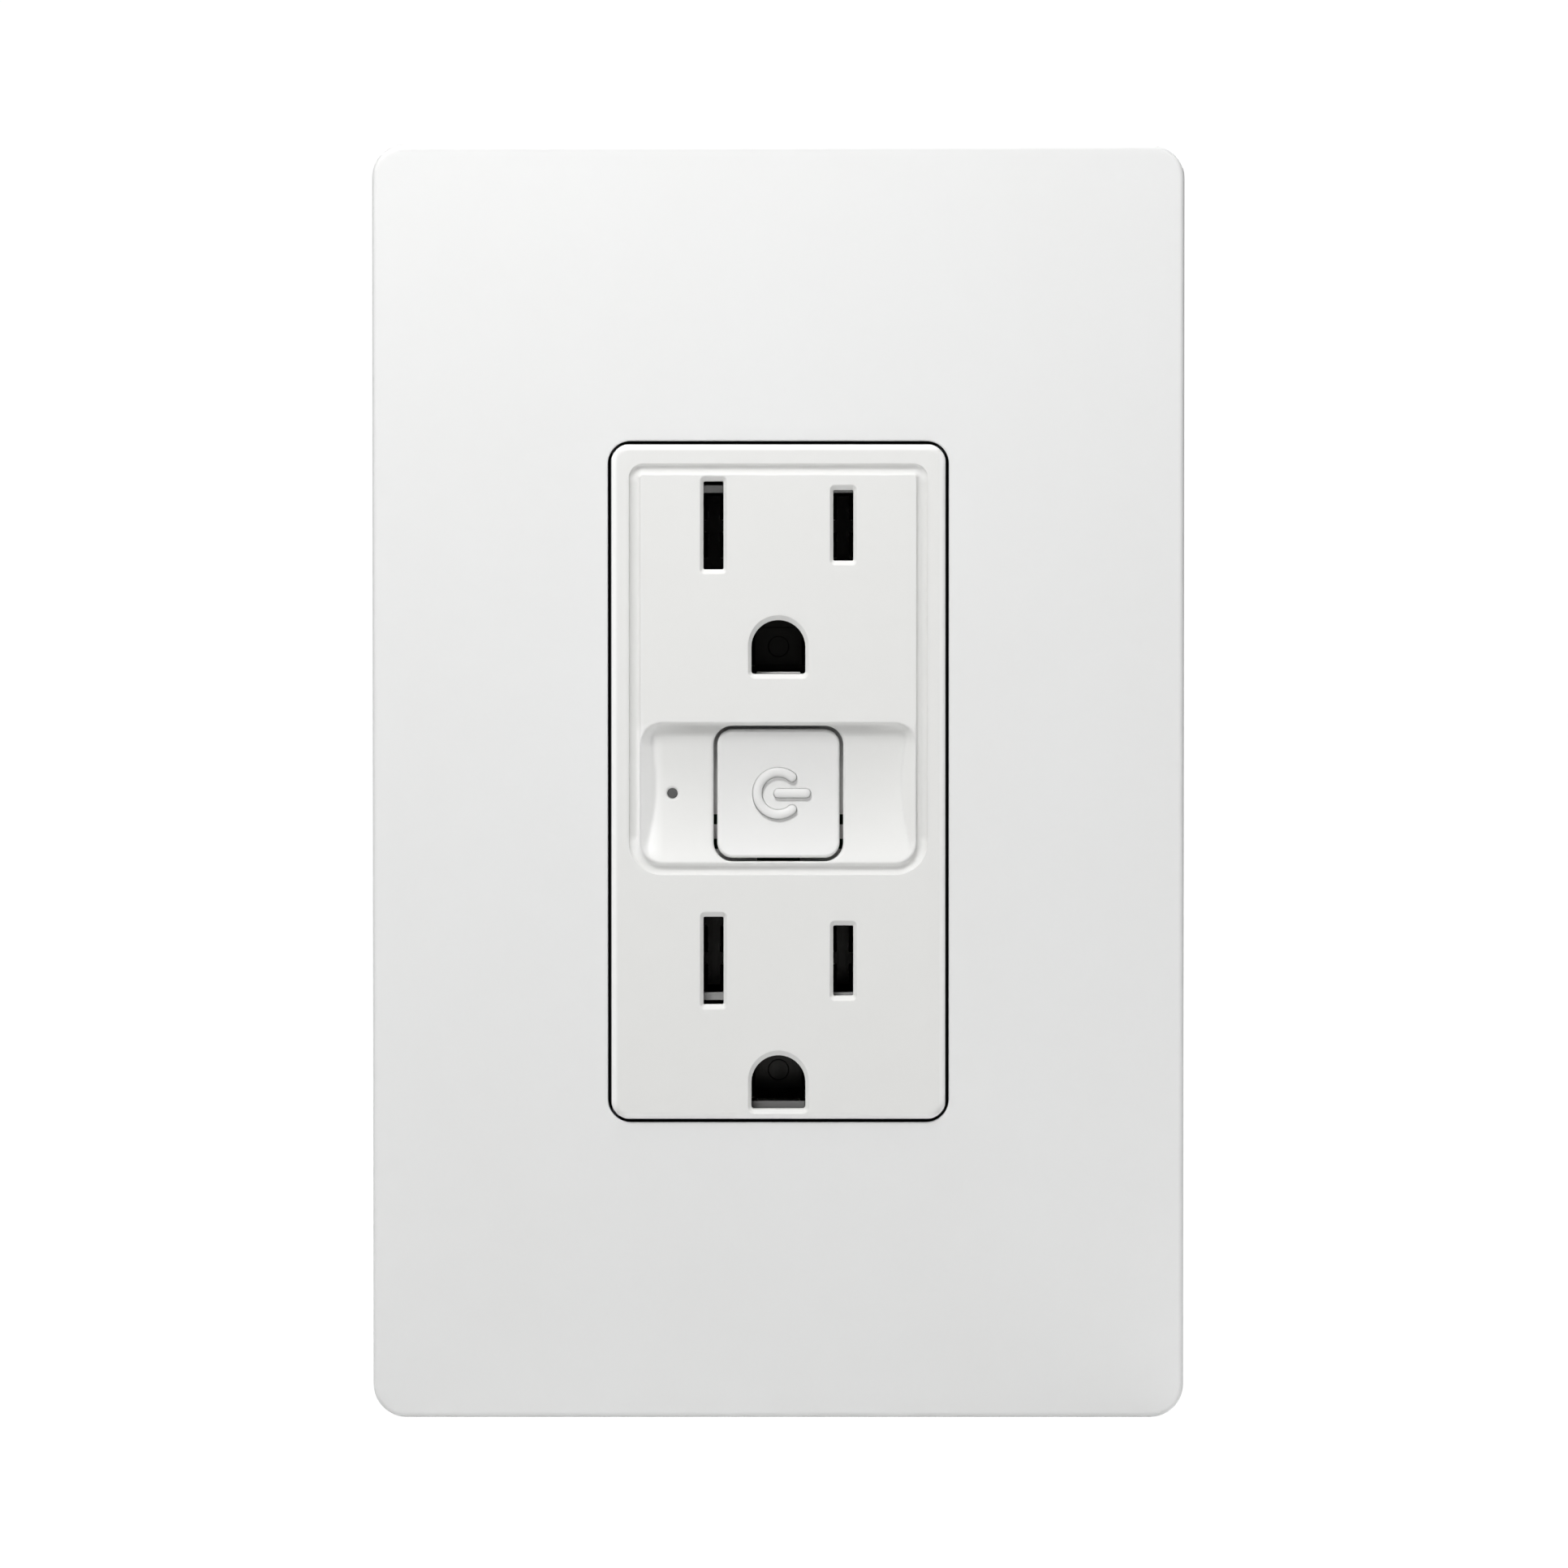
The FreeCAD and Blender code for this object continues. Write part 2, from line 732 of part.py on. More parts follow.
def light_pipe():
    tip = rod(light_radius, (light_x, face_front, button_z), (light_x, flange_rest_y, button_z))
    tip = tip.cut(trough_room())
    collar = rod(light_collar_radius, (light_x, flange_rest_y, button_z),
                 (light_x, control_board_y - led_thickness - light_gap, button_z))
    return join(tip, collar)


def contact_carrier():
    carrier = box(-carrier_half, carrier_half, carrier_front, carrier_back, carrier_bottom, carrier_top)
    web = carrier_front + carrier_front_web
    board_back = control_board_y + board_thickness
    ledge = board_ledge
    carrier = carrier.cut(box(-middle_half, middle_half, carrier_front, board_back,
                              middle_bottom, middle_top))
    carrier = carrier.cut(box(ledge - middle_half, middle_half - ledge, board_back, carrier_back,
                              middle_bottom + ledge, middle_top - ledge))
    for z in outlets:
        outward = 1 if z > 0 else -1
        for x, height in ((neutral_x, neutral_slot), (hot_x, hot_slot)):
            near = z - outward * height / 2
            far = z + outward * (blade_height / 2 + snug / 2)
            low, high = sorted((near, far))
            half = slot_width / 2 + snug
            carrier = carrier.cut(box(x - half, x + half, carrier_front, web, low, high))
            if height > hot_slot:
                end = z + outward * height / 2
                low, high = sorted((end - outward * carrier_relief, end + outward * snug))
                carrier = carrier.cut(box(x - half, x + half, carrier_front, web, low, high))
            pocket = height / 2 + loose
            carrier = carrier.cut(box(x - contact_pocket, x + contact_pocket, web, carrier_back,
                                      z - pocket, z + pocket))
        ground_z = z - ground_drop
        carrier = carrier.cut(through(dome_wire(ground_radius + snug, ground_z, 0), carrier_front, web))
        width = ground_contact_pinch + ground_contact_flare + contact_stock + 2 * snug
        carrier = carrier.cut(box(-width, width, web, carrier_back,
                                  ground_z - ground_radius, ground_z + ground_radius))
    return carrier.removeSplitter()


def bent_leg(inner, stock, height, x, z, side):
    """One sprung leg of a contact, from its inner line given as (half gap, y) points."""
    outer = [(gap + stock, y) for gap, y in reversed(inner)]
    outline = [V(x + side * gap, y, z - height / 2) for gap, y in inner + outer]
    return Part.Face(Part.makePolygon(outline + outline[:1])).extrude(V(0, 0, height))


def blade_contact(x, z, height):
    """Two legs that wipe both sides of a plug blade, each split into two tines."""
    mouth_y = carrier_front + carrier_front_web + loose
    grip_front, grip_back = contact_grip
    inner = [(contact_back, carrier_back), (contact_back, carrier_back - contact_bend),
             (contact_pinch, mouth_y + grip_back), (contact_pinch, mouth_y + grip_front),
             (contact_mouth, mouth_y)]
    contact = box(x - strip_width / 2, x + strip_width / 2, carrier_back,
                  carrier_back + strip_thickness, z - height / 2, z + height / 2)
    for side in (-1, 1):
        leg = bent_leg(inner, contact_stock, height, x, z, side)
        gap = contact_tine_gap / 2
        leg = leg.cut(box(x - strip_width, x + strip_width, mouth_y, carrier_back - contact_tine_root,
                          z - gap, z + gap))
        contact = contact.fuse(leg)
    return contact


def contact_strip(x, tail_z):
    """One conductor for both outlets, with a tail that is soldered into the power board."""
    half = strip_width / 2
    back = carrier_back + strip_thickness
    strip = box(x - half, x + half, carrier_back, back, lower_blades_z, upper_blades_z)
    for z in outlets:
        strip = strip.fuse(blade_contact(x, z, blade_height))
    tail = box(x - half / 2, x + half / 2, back, power_board_back, tail_z, tail_z + strip_thickness)
    return join(strip, tail)


def ground_strip():
    """The earth rail behind the carrier, with a band at its foot staked into the strap."""
    half = ground_strip_width / 2
    foot = window_bottom - running
    rail = box(-half, half, ground_strip_y, ground_strip_y + strip_thickness,
               foot - strip_thickness, upper_blades_z - ground_drop + half)
    band = box(-half, half, 0, ground_strip_y, foot - strip_thickness, foot)
    side = half - ground_tenon_shoulder
    tenon = box(-side, side, strap_front, 0, foot - strip_thickness, foot)
    rail = join(rail, band, tenon)
    for z in outlets:
        hole = 0, ground_strip_y, z - ground_drop
        rail = rail.cut(rod(rivet_radius + running, hole, (0, power_board_y, z - ground_drop)))
    return rail


def ground_contact(z):
    """A U-shaped grip for the round ground pin."""
    mouth_y = carrier_front + carrier_front_web + loose
    base_y = ground_strip_y - contact_stock
    back_gap = ground_contact_pinch + ground_contact_flare / 2
    grip_front, grip_back = ground_contact_grip
    inner = [(back_gap, ground_strip_y), (back_gap, mouth_y + ground_contact_bend),
             (ground_contact_pinch, mouth_y + grip_back), (ground_contact_pinch, mouth_y + grip_front),
             (ground_contact_pinch + ground_contact_flare, mouth_y)]
    half = back_gap + contact_stock
    grip = box(-half, half, base_y, ground_strip_y, z - ground_contact_height / 2,
               z + ground_contact_height / 2)
    for side in (-1, 1):
        grip = grip.fuse(bent_leg(inner, contact_stock, ground_contact_height, 0, z, side))
    return grip.removeSplitter().cut(rod(rivet_radius + running, (0, base_y, z), (0, ground_strip_y, z)))


def ground_rivets():
    rivets = []
    for outlet in outlets:
        z = outlet - ground_drop
        back = ground_strip_y + strip_thickness
        shank = rod(rivet_radius, (0, ground_strip_y - contact_stock, z), (0, back, z))
        head = rod(rivet_head_radius, (0, back, z), (0, back + rivet_head_height, z))
        rivets.append(shank.fuse(head))
    return rivets


def side_box(side, x0, x1, y0, y1, z0, z1):
    """A box on the right for side 1, or its mirror image on the left for side -1."""
    low, high = sorted((side * x0, side * x1))
    return box(low, high, y0, y1, z0, z1)


def tail_slot(side, clearance):
    """The room that a terminal's tail takes, from its pocket up to the power board."""
    x0 = terminal_plate_x - clearance
    x1 = terminal_plate_x + terminal_plate_thickness + clearance
    y0 = terminal_y - terminal_pocket / 2 + tail_inset
    y1 = y0 + tail_width
    top = power_board_bottom + tail_rise
    rise = side_box(side, x0, x1, y0 - clearance, y1 + clearance, terminal_z, top + clearance)
    hook = side_box(side, x0, x1, power_board_y - tail_reach, y1, power_board_bottom - clearance,
                    top + clearance)
    return rise.fuse(hook)


def terminal_plate(side):
    half = terminal_pocket / 2 - running
    plate = side_box(side, terminal_plate_x, terminal_plate_x + terminal_plate_thickness,
                     terminal_y - half, terminal_y + half, terminal_z - half, terminal_z + half)
    plate = join(plate, tail_slot(side, 0.0))
    start = 0, terminal_y, terminal_z
    return plate.cut(rod(screw_radius + running, start, (side * body_width / 2, terminal_y, terminal_z)))


def clamp_plate(side):
    half = clamp_size / 2
    plate = side_box(side, clamp_x, clamp_x + clamp_thickness, terminal_y - half, terminal_y + half,
                     terminal_z - half, terminal_z + half)
    start = 0, terminal_y, terminal_z
    return plate.cut(rod(screw_radius + running, start, (side * body_width / 2, terminal_y, terminal_z)))


def terminal_screw(side):
    head = side * screw_head_x, terminal_y, terminal_z
    tip = side * (terminal_plate_x - loose), terminal_y, terminal_z
    return pan_screw(screw_radius, head, tip, (side, 0, 0))


def ground_clamp():
    half = clamp_size / 2
    plate = box(ground_tab_x - half, ground_tab_x + half, ground_screw_y - half, ground_screw_y + half,
                ground_clamp_z - clamp_thickness, ground_clamp_z)
    start = ground_tab_x, ground_screw_y, ground_clamp_z - clamp_thickness
    return plate.cut(rod(screw_radius + running, start, (ground_tab_x, ground_screw_y, ground_clamp_z)))


def ground_screw():
    head = ground_tab_x, ground_screw_y, ground_clamp_z - clamp_thickness
    tip = ground_tab_x, ground_screw_y, tab_outer + strap_thickness
    return pan_screw(screw_radius, head, tip, (0, 0, -1))


def board_posts():
    """Centres of the four posts that hold the power board."""
    x = power_board_width / 2 - post_radius - post_inset
    low = power_board_bottom + post_lift
    high = power_board_top - post_radius - post_drop
    return [(side * x, z) for side in (-1, 1) for z in (low, high)]


def rear_body():
    outer = slab(body_width, body_height, 0, body_depth, body_corner)
    outer = rounded_front(outer, body_depth, body_round)
    body = outer.cut(slab(2 * cavity_half, 2 * cavity_end, 0, cavity_back, body_corner - body_wall))
    pocket = terminal_pocket / 2
    for side in (-1, 1):
        block = side_box(side, pocket_floor_x - terminal_wall, cavity_half,
                         terminal_y - pocket - terminal_wall, cavity_back,
                         terminal_z - pocket - terminal_wall, terminal_z + pocket + terminal_wall)
        body = body.fuse(block)
        for end in (-1, 1):
            start = side * boss_x, boss_length + snug, end * boss_z
            stop = side * boss_x, body_depth, end * boss_z
            body = body.fuse(rod(boss_radius + boss_wall, start, stop))
            corner_z = carrier_top if end > 0 else carrier_bottom
            z0, z1 = sorted((corner_z, corner_z - end * carrier_stop_height))
            body = body.fuse(side_box(side, carrier_half - carrier_stop_width, carrier_half,
                                      carrier_back, cavity_back, z0, z1))
    for x, z in board_posts():
        body = body.fuse(rod(post_radius, (x, power_board_back, z), (x, cavity_back, z)))
    body = body.common(outer)
    for side in (-1, 1):
        body = body.cut(side_box(side, pocket_floor_x, body_width, terminal_y - pocket,
                                 terminal_y + pocket, terminal_z - pocket, terminal_z + pocket))
        body = body.cut(tail_slot(side, snug))
        wire_x = terminal_plate_x + terminal_plate_thickness + wire_hole_radius
        for way in (-1, 1):
            z = terminal_z + way * wire_hole_offset
            body = body.cut(rod(wire_hole_radius, (side * wire_x, terminal_y, z),
                                (side * wire_x, body_depth, z)))
        for end in (-1, 1):
            x = side * boss_x
            z = end * boss_z
            body = body.cut(rod(boss_radius + snug, (x, 0, z), (x, boss_length + snug, z)))
            body = body.cut(rod(body_screw_radius + snug, (x, boss_length, z), (x, body_depth, z)))
            body = body.cut(rod(body_screw_head + snug, (x, body_screw_seat, z), (x, body_depth, z)))
    body = body.cut(slab(panel_width, panel_height, body_depth - panel_sink, body_depth, panel_corner,
                         0, panel_z))
    body = body.cut(slab(strip_gauge, strip_gauge_width, body_depth - 2 * panel_sink, body_depth,
                         strip_gauge_width / 2 - arc_flat, 0, terminal_z))
    relief = ground_tab_x, ground_screw_y, -body_height / 2
    body = body.cut(rod(screw_radius + loose, relief, (relief[0], relief[1], -cavity_end)))
    return body.removeSplitter()


def body_screws():
    screws = []
    for side in (-1, 1):
        for end in (-1, 1):
            x = side * boss_x
            z = end * boss_z
            top = body_screw_seat + body_screw_head_height
            head = rod(body_screw_head, (x, body_screw_seat, z), (x, top, z))
            head = rounded_front(head, top, body_screw_round)
            long, thin = body_cross_length / 2, body_cross_width / 2
            for wide, tall in ((long, thin), (thin, long)):
                head = head.cut(box(x - wide, x + wide, top - body_cross_depth, top, z - tall, z + tall))
            shank = rod(body_screw_radius, (x, flange_front + boss_skin + loose, z), (x, body_screw_seat, z))
            screws.append(head.fuse(shank))
    return screws


def control_board():
    board = box(-board_half, board_half, control_board_y, control_board_y + board_thickness,
                board_bottom, board_top)
    for x, z in header_places():
        board = board.cut(rod(pin_radius + running, (x, control_board_y, z), (x, power_board_y, z)))
    return board


def header_places():
    """Centres of the pins that join the two boards."""
    return [(board_half - header_side - pin_pitch * column, board_top - header_drop - pin_pitch * row)
            for row in range(header_rows) for column in range(header_columns)]


def header_pins():
    return [rod(pin_radius, (x, control_board_y - pin_stub, z), (x, power_board_back + pin_stub, z))
            for x, z in header_places()]


def tact_switch():
    case = slab(tact_size, tact_size, control_board_y - tact_height, control_board_y, tact_corner,
                0, button_z)
    well = rod(plunger_radius + snug, (0, control_board_y - tact_height, button_z),
               (0, control_board_y - tact_floor, button_z))
    return case.cut(well)


def tact_plunger():
    back = control_board_y - tact_floor - button_travel - snug
    return rod(plunger_radius, (0, plunger_front(), button_z), (0, back, button_z))


def status_led():
    across = led_width / 2
    up = led_height / 2
    return box(light_x - across, light_x + across, control_board_y - led_thickness, control_board_y,
               button_z - up, button_z + up)


def radio_module():
    y = control_board_y + board_thickness
    shift = middle_half - board_ledge - loose
    return box(-shift, shift - radio_side, y, y + radio_thickness, board_bottom + radio_foot,
               board_top - radio_head)


def radio_shield():
    y = control_board_y + board_thickness + radio_thickness
    module = radio_module().BoundBox
    x0, x1 = module.XMin + shield_margin, module.XMax - shield_margin
    z0, z1 = module.ZMin + shield_margin, module.ZMax - antenna_length
    w = shield_wall
    can = box(x0, x1, y, y + shield_height, z0, z1)
    return can.cut(box(x0 + w, x1 - w, y, y + shield_height - w, z0 + w, z1 - w))


def power_board():
    half = power_board_width / 2
    board = box(-half, half, power_board_y, power_board_back, power_board_bottom, power_board_top)
    for side in (-1, 1):
        board = board.cut(tail_slot(side, snug))
    for x, z in ((neutral_x, contact_tail_z), (hot_x, -contact_tail_z)):
        half = strip_width / 4 + snug
        board = board.cut(box(x - half, x + half, power_board_y, power_board_back,
                              z - snug, z + strip_thickness + snug))
    for x, z in header_places():
        board = board.cut(rod(pin_radius + running, (x, power_board_y, z), (x, power_board_back, z)))
    return board


def relay_bounds():
    x1 = power_board_width / 2 - relay_side
    z1 = power_board_top - relay_end
    return x1 - relay_width, x1, z1 - relay_length, z1


def relay_case():
    x0, x1, z0, z1 = relay_bounds()
    y = power_board_back
    case = box(x0, x1, y, y + relay_height, z0, z1)
    w = relay_wall
    return case.cut(box(x0 + w, x1 - w, y, y + relay_height - w, z0 + w, z1 - w))


def relay_coil():
    x0, x1, z0, z1 = relay_bounds()
    x = (x0 + x1) / 2
    z = z0 + coil_z
    y = power_board_back
    low = y + coil_flange_thickness
    top = y + coil_height
    high = top - coil_flange_thickness
    winding = rod(coil_radius, (x, low, z), (x, high, z))
    flanges = [slab(coil_flange, coil_flange, level, level + coil_flange_thickness,
                    coil_flange_corner, x, z) for level in (y, high)]
    core = rod(coil_core_radius, (x, top, z), (x, top + coil_core_proud, z))
    return join(winding, core, *flanges)


def relay_frame():
    """The L-shaped iron yoke that the armature rocks on."""
    x0, x1, z0, z1 = relay_bounds()
    z = z0 + coil_z - relay_yoke_drop
    y = power_board_back
    return box(x0 + relay_yoke_side, x1 - relay_yoke_side, y, y + coil_height + coil_core_proud,
               z - relay_yoke_thickness, z)


def relay_armature():
    """An iron flap over the coil, resting on the yoke's edge, open by a small angle at rest."""
    x0, x1, z0, z1 = relay_bounds()
    hinge_z = z0 + coil_z - relay_yoke_drop
    hinge_y = power_board_back + coil_height + coil_core_proud + running
    flap = box(x0 + flap_side, x1 - flap_side, hinge_y, hinge_y + flap_thickness,
               hinge_z - flap_heel, hinge_z + flap_length)
    flap.rotate(V(0, hinge_y, hinge_z), V(1, 0, 0), -relay_opening)
    return flap


def transformer_bounds():
    x0 = -power_board_width / 2 + transformer_side
    z1 = power_board_top - transformer_end
    return x0, x0 + transformer_width, z1 - transformer_width, z1


def transformer_winding():
    x0, x1, z0, z1 = transformer_bounds()
    y = power_board_back
    return slab(winding_width, winding_length, y + winding_inset, y + transformer_height - winding_inset,
                winding_corner, (x0 + x1) / 2, (z0 + z1) / 2)


def transformer_core():
    x0, x1, z0, z1 = transformer_bounds()
    y = power_board_back
    core = box(x0, x1, y, y + transformer_height, z0 + core_inset, z1 - core_inset)
    inset = winding_inset - snug
    room = slab(winding_width + 2 * snug, winding_length + 4 * snug, y + inset,
                y + transformer_height - inset, winding_corner, (x0 + x1) / 2, (z0 + z1) / 2)
    return core.cut(room)


def electrolytic_capacitors():
    cans = []
    for step in range(2):
        x = last_can_x - step * can_pitch
        y = power_board_back + capacitor_radius
        z = power_board_bottom + capacitor_lift
        can = rod(capacitor_radius, (x, y, z), (x, y, z + capacitor_length - capacitor_bung))
        bung = rod(capacitor_radius - capacitor_bung_step, (x, y, z - capacitor_bung), (x, y, z))
        cans.append(can.fuse(bung))
    return cans


def film_capacitor():
    y = power_board_back
    x = last_can_x + capacitor_radius + loose + film_width / 2
    return slab(film_width, film_length, y, y + film_height, film_corner, x, power_board_bottom + film_z)


def varistor():
    x = varistor_x
    y = power_board_back
    z = power_board_bottom + varistor_z
    half = varistor_thickness / 2
    disc = rod(varistor_radius, (x - half, y + varistor_lift, z), (x + half, y + varistor_lift, z))
    apart = varistor_leg_pitch / 2
    legs = [rod(varistor_leg_radius, (x, y, leg_z), (x, y + varistor_leg_length, leg_z))
            for leg_z in (z - apart, z + apart)]
    return join(disc, *legs)


def fuse_resistor():
    x = -power_board_width / 2 + fuse_x
    y = power_board_back + fuse_lift
    z = power_board_bottom + fuse_z
    half = fuse_length / 2
    body = rod(fuse_radius, (x - half, y, z), (x + half, y, z))
    apart = fuse_leg_pitch / 2
    legs = [rod(fuse_leg_radius, (leg_x, power_board_back, z), (leg_x, y, z))
            for leg_x in (x - apart, x + apart)]
    return join(body, *legs)


def driver_chip():
    y = power_board_back
    z = power_board_bottom + chip_z
    return box(chip_x, chip_x + chip_width, y, y + chip_height, z, z + chip_length)


os.makedirs("parts", exist_ok=True)

save("wall_plate", wall_plate())
save("sub_plate", sub_plate())
save("sub_plate_screws", *plate_screws())
save("yoke_strap", yoke_strap())
save("box_screws", *box_screws())
save("screw_retainers", *screw_retainers())
save("face_cover", face_cover())
save("power_button", power_button())
save("light_pipe", light_pipe())
save("contact_carrier", contact_carrier())
save("neutral_contact_strip", contact_strip(neutral_x, contact_tail_z))
save("hot_contact_strip", contact_strip(hot_x, -contact_tail_z))
save("ground_strip", ground_strip())
save("ground_contact_upper", ground_contact(upper_blades_z - ground_drop))
save("ground_contact_lower", ground_contact(lower_blades_z - ground_drop))
save("ground_rivets", *ground_rivets())
for terminal_name, terminal_side in (("neutral", -1), ("hot", 1)):
    save(terminal_name + "_terminal_plate", terminal_plate(terminal_side))
    save(terminal_name + "_clamp_plate", clamp_plate(terminal_side))
    save(terminal_name + "_terminal_screw", terminal_screw(terminal_side))
save("ground_clamp_plate", ground_clamp())
save("ground_screw", ground_screw())
save("rear_body", rear_body())
save("body_screws", *body_screws())
save("control_board", control_board())
save("tact_switch", tact_switch())
save("tact_plunger", tact_plunger())
save("status_led", status_led())
save("radio_module", radio_module())
save("radio_shield", radio_shield())
save("header_pins", *header_pins())
save("power_board", power_board())
save("relay_case", relay_case())
save("relay_coil", relay_coil())
save("relay_frame", relay_frame())
save("relay_armature", relay_armature())
save("transformer_core", transformer_core())
save("transformer_winding", transformer_winding())
save("electrolytic_capacitors", *electrolytic_capacitors())
save("film_capacitor", film_capacitor())
save("varistor", varistor())
save("fuse_resistor", fuse_resistor())
save("driver_chip", driver_chip())
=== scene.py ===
import bmesh
import bpy
import math
from itertools import product
from mathutils import Matrix, Vector


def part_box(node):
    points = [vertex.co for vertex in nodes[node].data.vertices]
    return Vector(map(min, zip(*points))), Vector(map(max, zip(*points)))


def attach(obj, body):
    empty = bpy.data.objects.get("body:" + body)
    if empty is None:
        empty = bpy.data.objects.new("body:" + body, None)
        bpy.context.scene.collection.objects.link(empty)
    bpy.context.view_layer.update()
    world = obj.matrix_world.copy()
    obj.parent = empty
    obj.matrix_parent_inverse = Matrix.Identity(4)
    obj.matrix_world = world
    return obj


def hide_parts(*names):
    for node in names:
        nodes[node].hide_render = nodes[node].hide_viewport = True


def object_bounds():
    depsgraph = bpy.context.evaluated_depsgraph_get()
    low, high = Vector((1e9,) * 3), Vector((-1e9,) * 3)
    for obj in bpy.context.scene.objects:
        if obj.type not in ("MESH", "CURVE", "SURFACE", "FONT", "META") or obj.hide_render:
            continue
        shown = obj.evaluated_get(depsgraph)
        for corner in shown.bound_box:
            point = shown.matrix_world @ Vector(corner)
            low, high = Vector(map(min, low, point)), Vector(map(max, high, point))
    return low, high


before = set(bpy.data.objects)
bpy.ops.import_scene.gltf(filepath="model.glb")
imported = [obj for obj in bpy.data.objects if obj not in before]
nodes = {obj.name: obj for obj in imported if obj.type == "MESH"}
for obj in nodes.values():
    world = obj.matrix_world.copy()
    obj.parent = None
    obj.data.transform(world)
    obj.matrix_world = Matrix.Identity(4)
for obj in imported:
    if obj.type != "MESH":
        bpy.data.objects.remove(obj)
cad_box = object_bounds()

# ---------------------------------------------------------------------------
# Yoke strap.
# The long steel bar that carries the whole device and is screwed to the wall
# box. Stamped from strip, then barrel plated with bright zinc.
# ---------------------------------------------------------------------------


def new_finish(name):
    """A material with its node tree and its one Principled shader."""
    finish = bpy.data.materials.new(name)
    finish.use_nodes = True
    return finish, finish.node_tree, finish.node_tree.nodes["Principled BSDF"]


def new_effect(name, takes, gives):
    """An empty shader group; takes and gives list (socket name, kind, value)."""
    group = bpy.data.node_groups.new(name, "ShaderNodeTree")
    for direction, sockets in (("INPUT", takes), ("OUTPUT", gives)):
        for socket_name, kind, value in sockets:
            socket = group.interface.new_socket(
                name=socket_name, in_out=direction, socket_type="NodeSocket" + kind)
            if value is not None:
                socket.default_value = value
    return group, group.nodes.new("NodeGroupInput"), group.nodes.new("NodeGroupOutput")


def put(tree, kind, **values):
    """A node with its named inputs set to values or joined to other sockets."""
    node = tree.nodes.new(kind)
    fill(tree, node, values)
    return node


def fill(tree, node, values):
    """Sets inputs, named or given as _number, to values or joins them to other sockets."""
    for key, value in values.items():
        socket = node.inputs[int(key[1:])] if key[0] == "_" else node.inputs[key.replace("_", " ")]
        if isinstance(value, bpy.types.NodeSocket):
            tree.links.new(value, socket)
        else:
            socket.default_value = value


def effect(tree, group, **values):
    """Places a shader group in a material with this material's values."""
    node = tree.nodes.new("ShaderNodeGroup")
    node.node_tree = group
    fill(tree, node, values)
    return node


def sum_of(tree, operation, first, second=0.0, clamp=False):
    """The result of one arithmetic operation on two values or sockets."""
    node = put(tree, "ShaderNodeMath", _0=first, _1=second)
    node.operation = operation
    node.use_clamp = clamp
    return node.outputs[0]


def spread(tree, value, low, high, to_low=0.0, to_high=1.0):
    """value from low to high becomes to_low to to_high, held at the ends."""
    node = put(tree, "ShaderNodeMapRange", Value=value, From_Min=low, From_Max=high,
               To_Min=to_low, To_Max=to_high)
    return node.outputs[0]


def tint_between(tree, amount, first, second):
    """The first colour where amount is 0, the second where it is 1."""
    node = tree.nodes.new("ShaderNodeMix")
    node.data_type = "RGBA"
    fill(tree, node, {"_0": amount, "_6": first, "_7": second})
    return node.outputs[2]


def axis_of(tree, axis):
    """One of the piece's own coordinates, in metres."""
    at = tree.nodes.new("ShaderNodeTexCoord").outputs["Object"]
    return put(tree, "ShaderNodeSeparateXYZ", _0=at).outputs[axis]


def place_of(tree, stretch=(1, 1, 1)):
    """The piece's own coordinates in metres, stretched along its axes."""
    at = tree.nodes.new("ShaderNodeTexCoord").outputs["Object"]
    return put(tree, "ShaderNodeMapping", Vector=at, Scale=stretch).outputs[0]


def noise(tree, at, scale, detail=2.0, rough=0.5):
    """Cloudy values about 0.5, scale clouds to the metre."""
    return put(tree, "ShaderNodeTexNoise", Vector=at, Scale=scale, Detail=detail,
               Roughness=rough).outputs["Fac"]


def rounded_edges():
    """Normals that turn softly over an edge, and a mask of where edges wear."""
    group, takes, gives = new_effect("rounded edges", [("Radius", "Float", 0.0002)],
                                     [("Normal", "Vector", None), ("Edge", "Float", None)])
    turned = put(group, "ShaderNodeBevel", Radius=takes.outputs["Radius"])
    turned.samples = 4
    flat = group.nodes.new("ShaderNodeNewGeometry").outputs["Normal"]
    near = group.nodes.new("ShaderNodeVectorMath")
    near.operation = "DOT_PRODUCT"
    fill(group, near, {"_0": turned.outputs[0], "_1": flat})
    unworn, worn = 0.995, 0.85
    fill(group, gives, {"Normal": turned.outputs[0],
                        "Edge": spread(group, near.outputs["Value"], unworn, worn)})
    return group


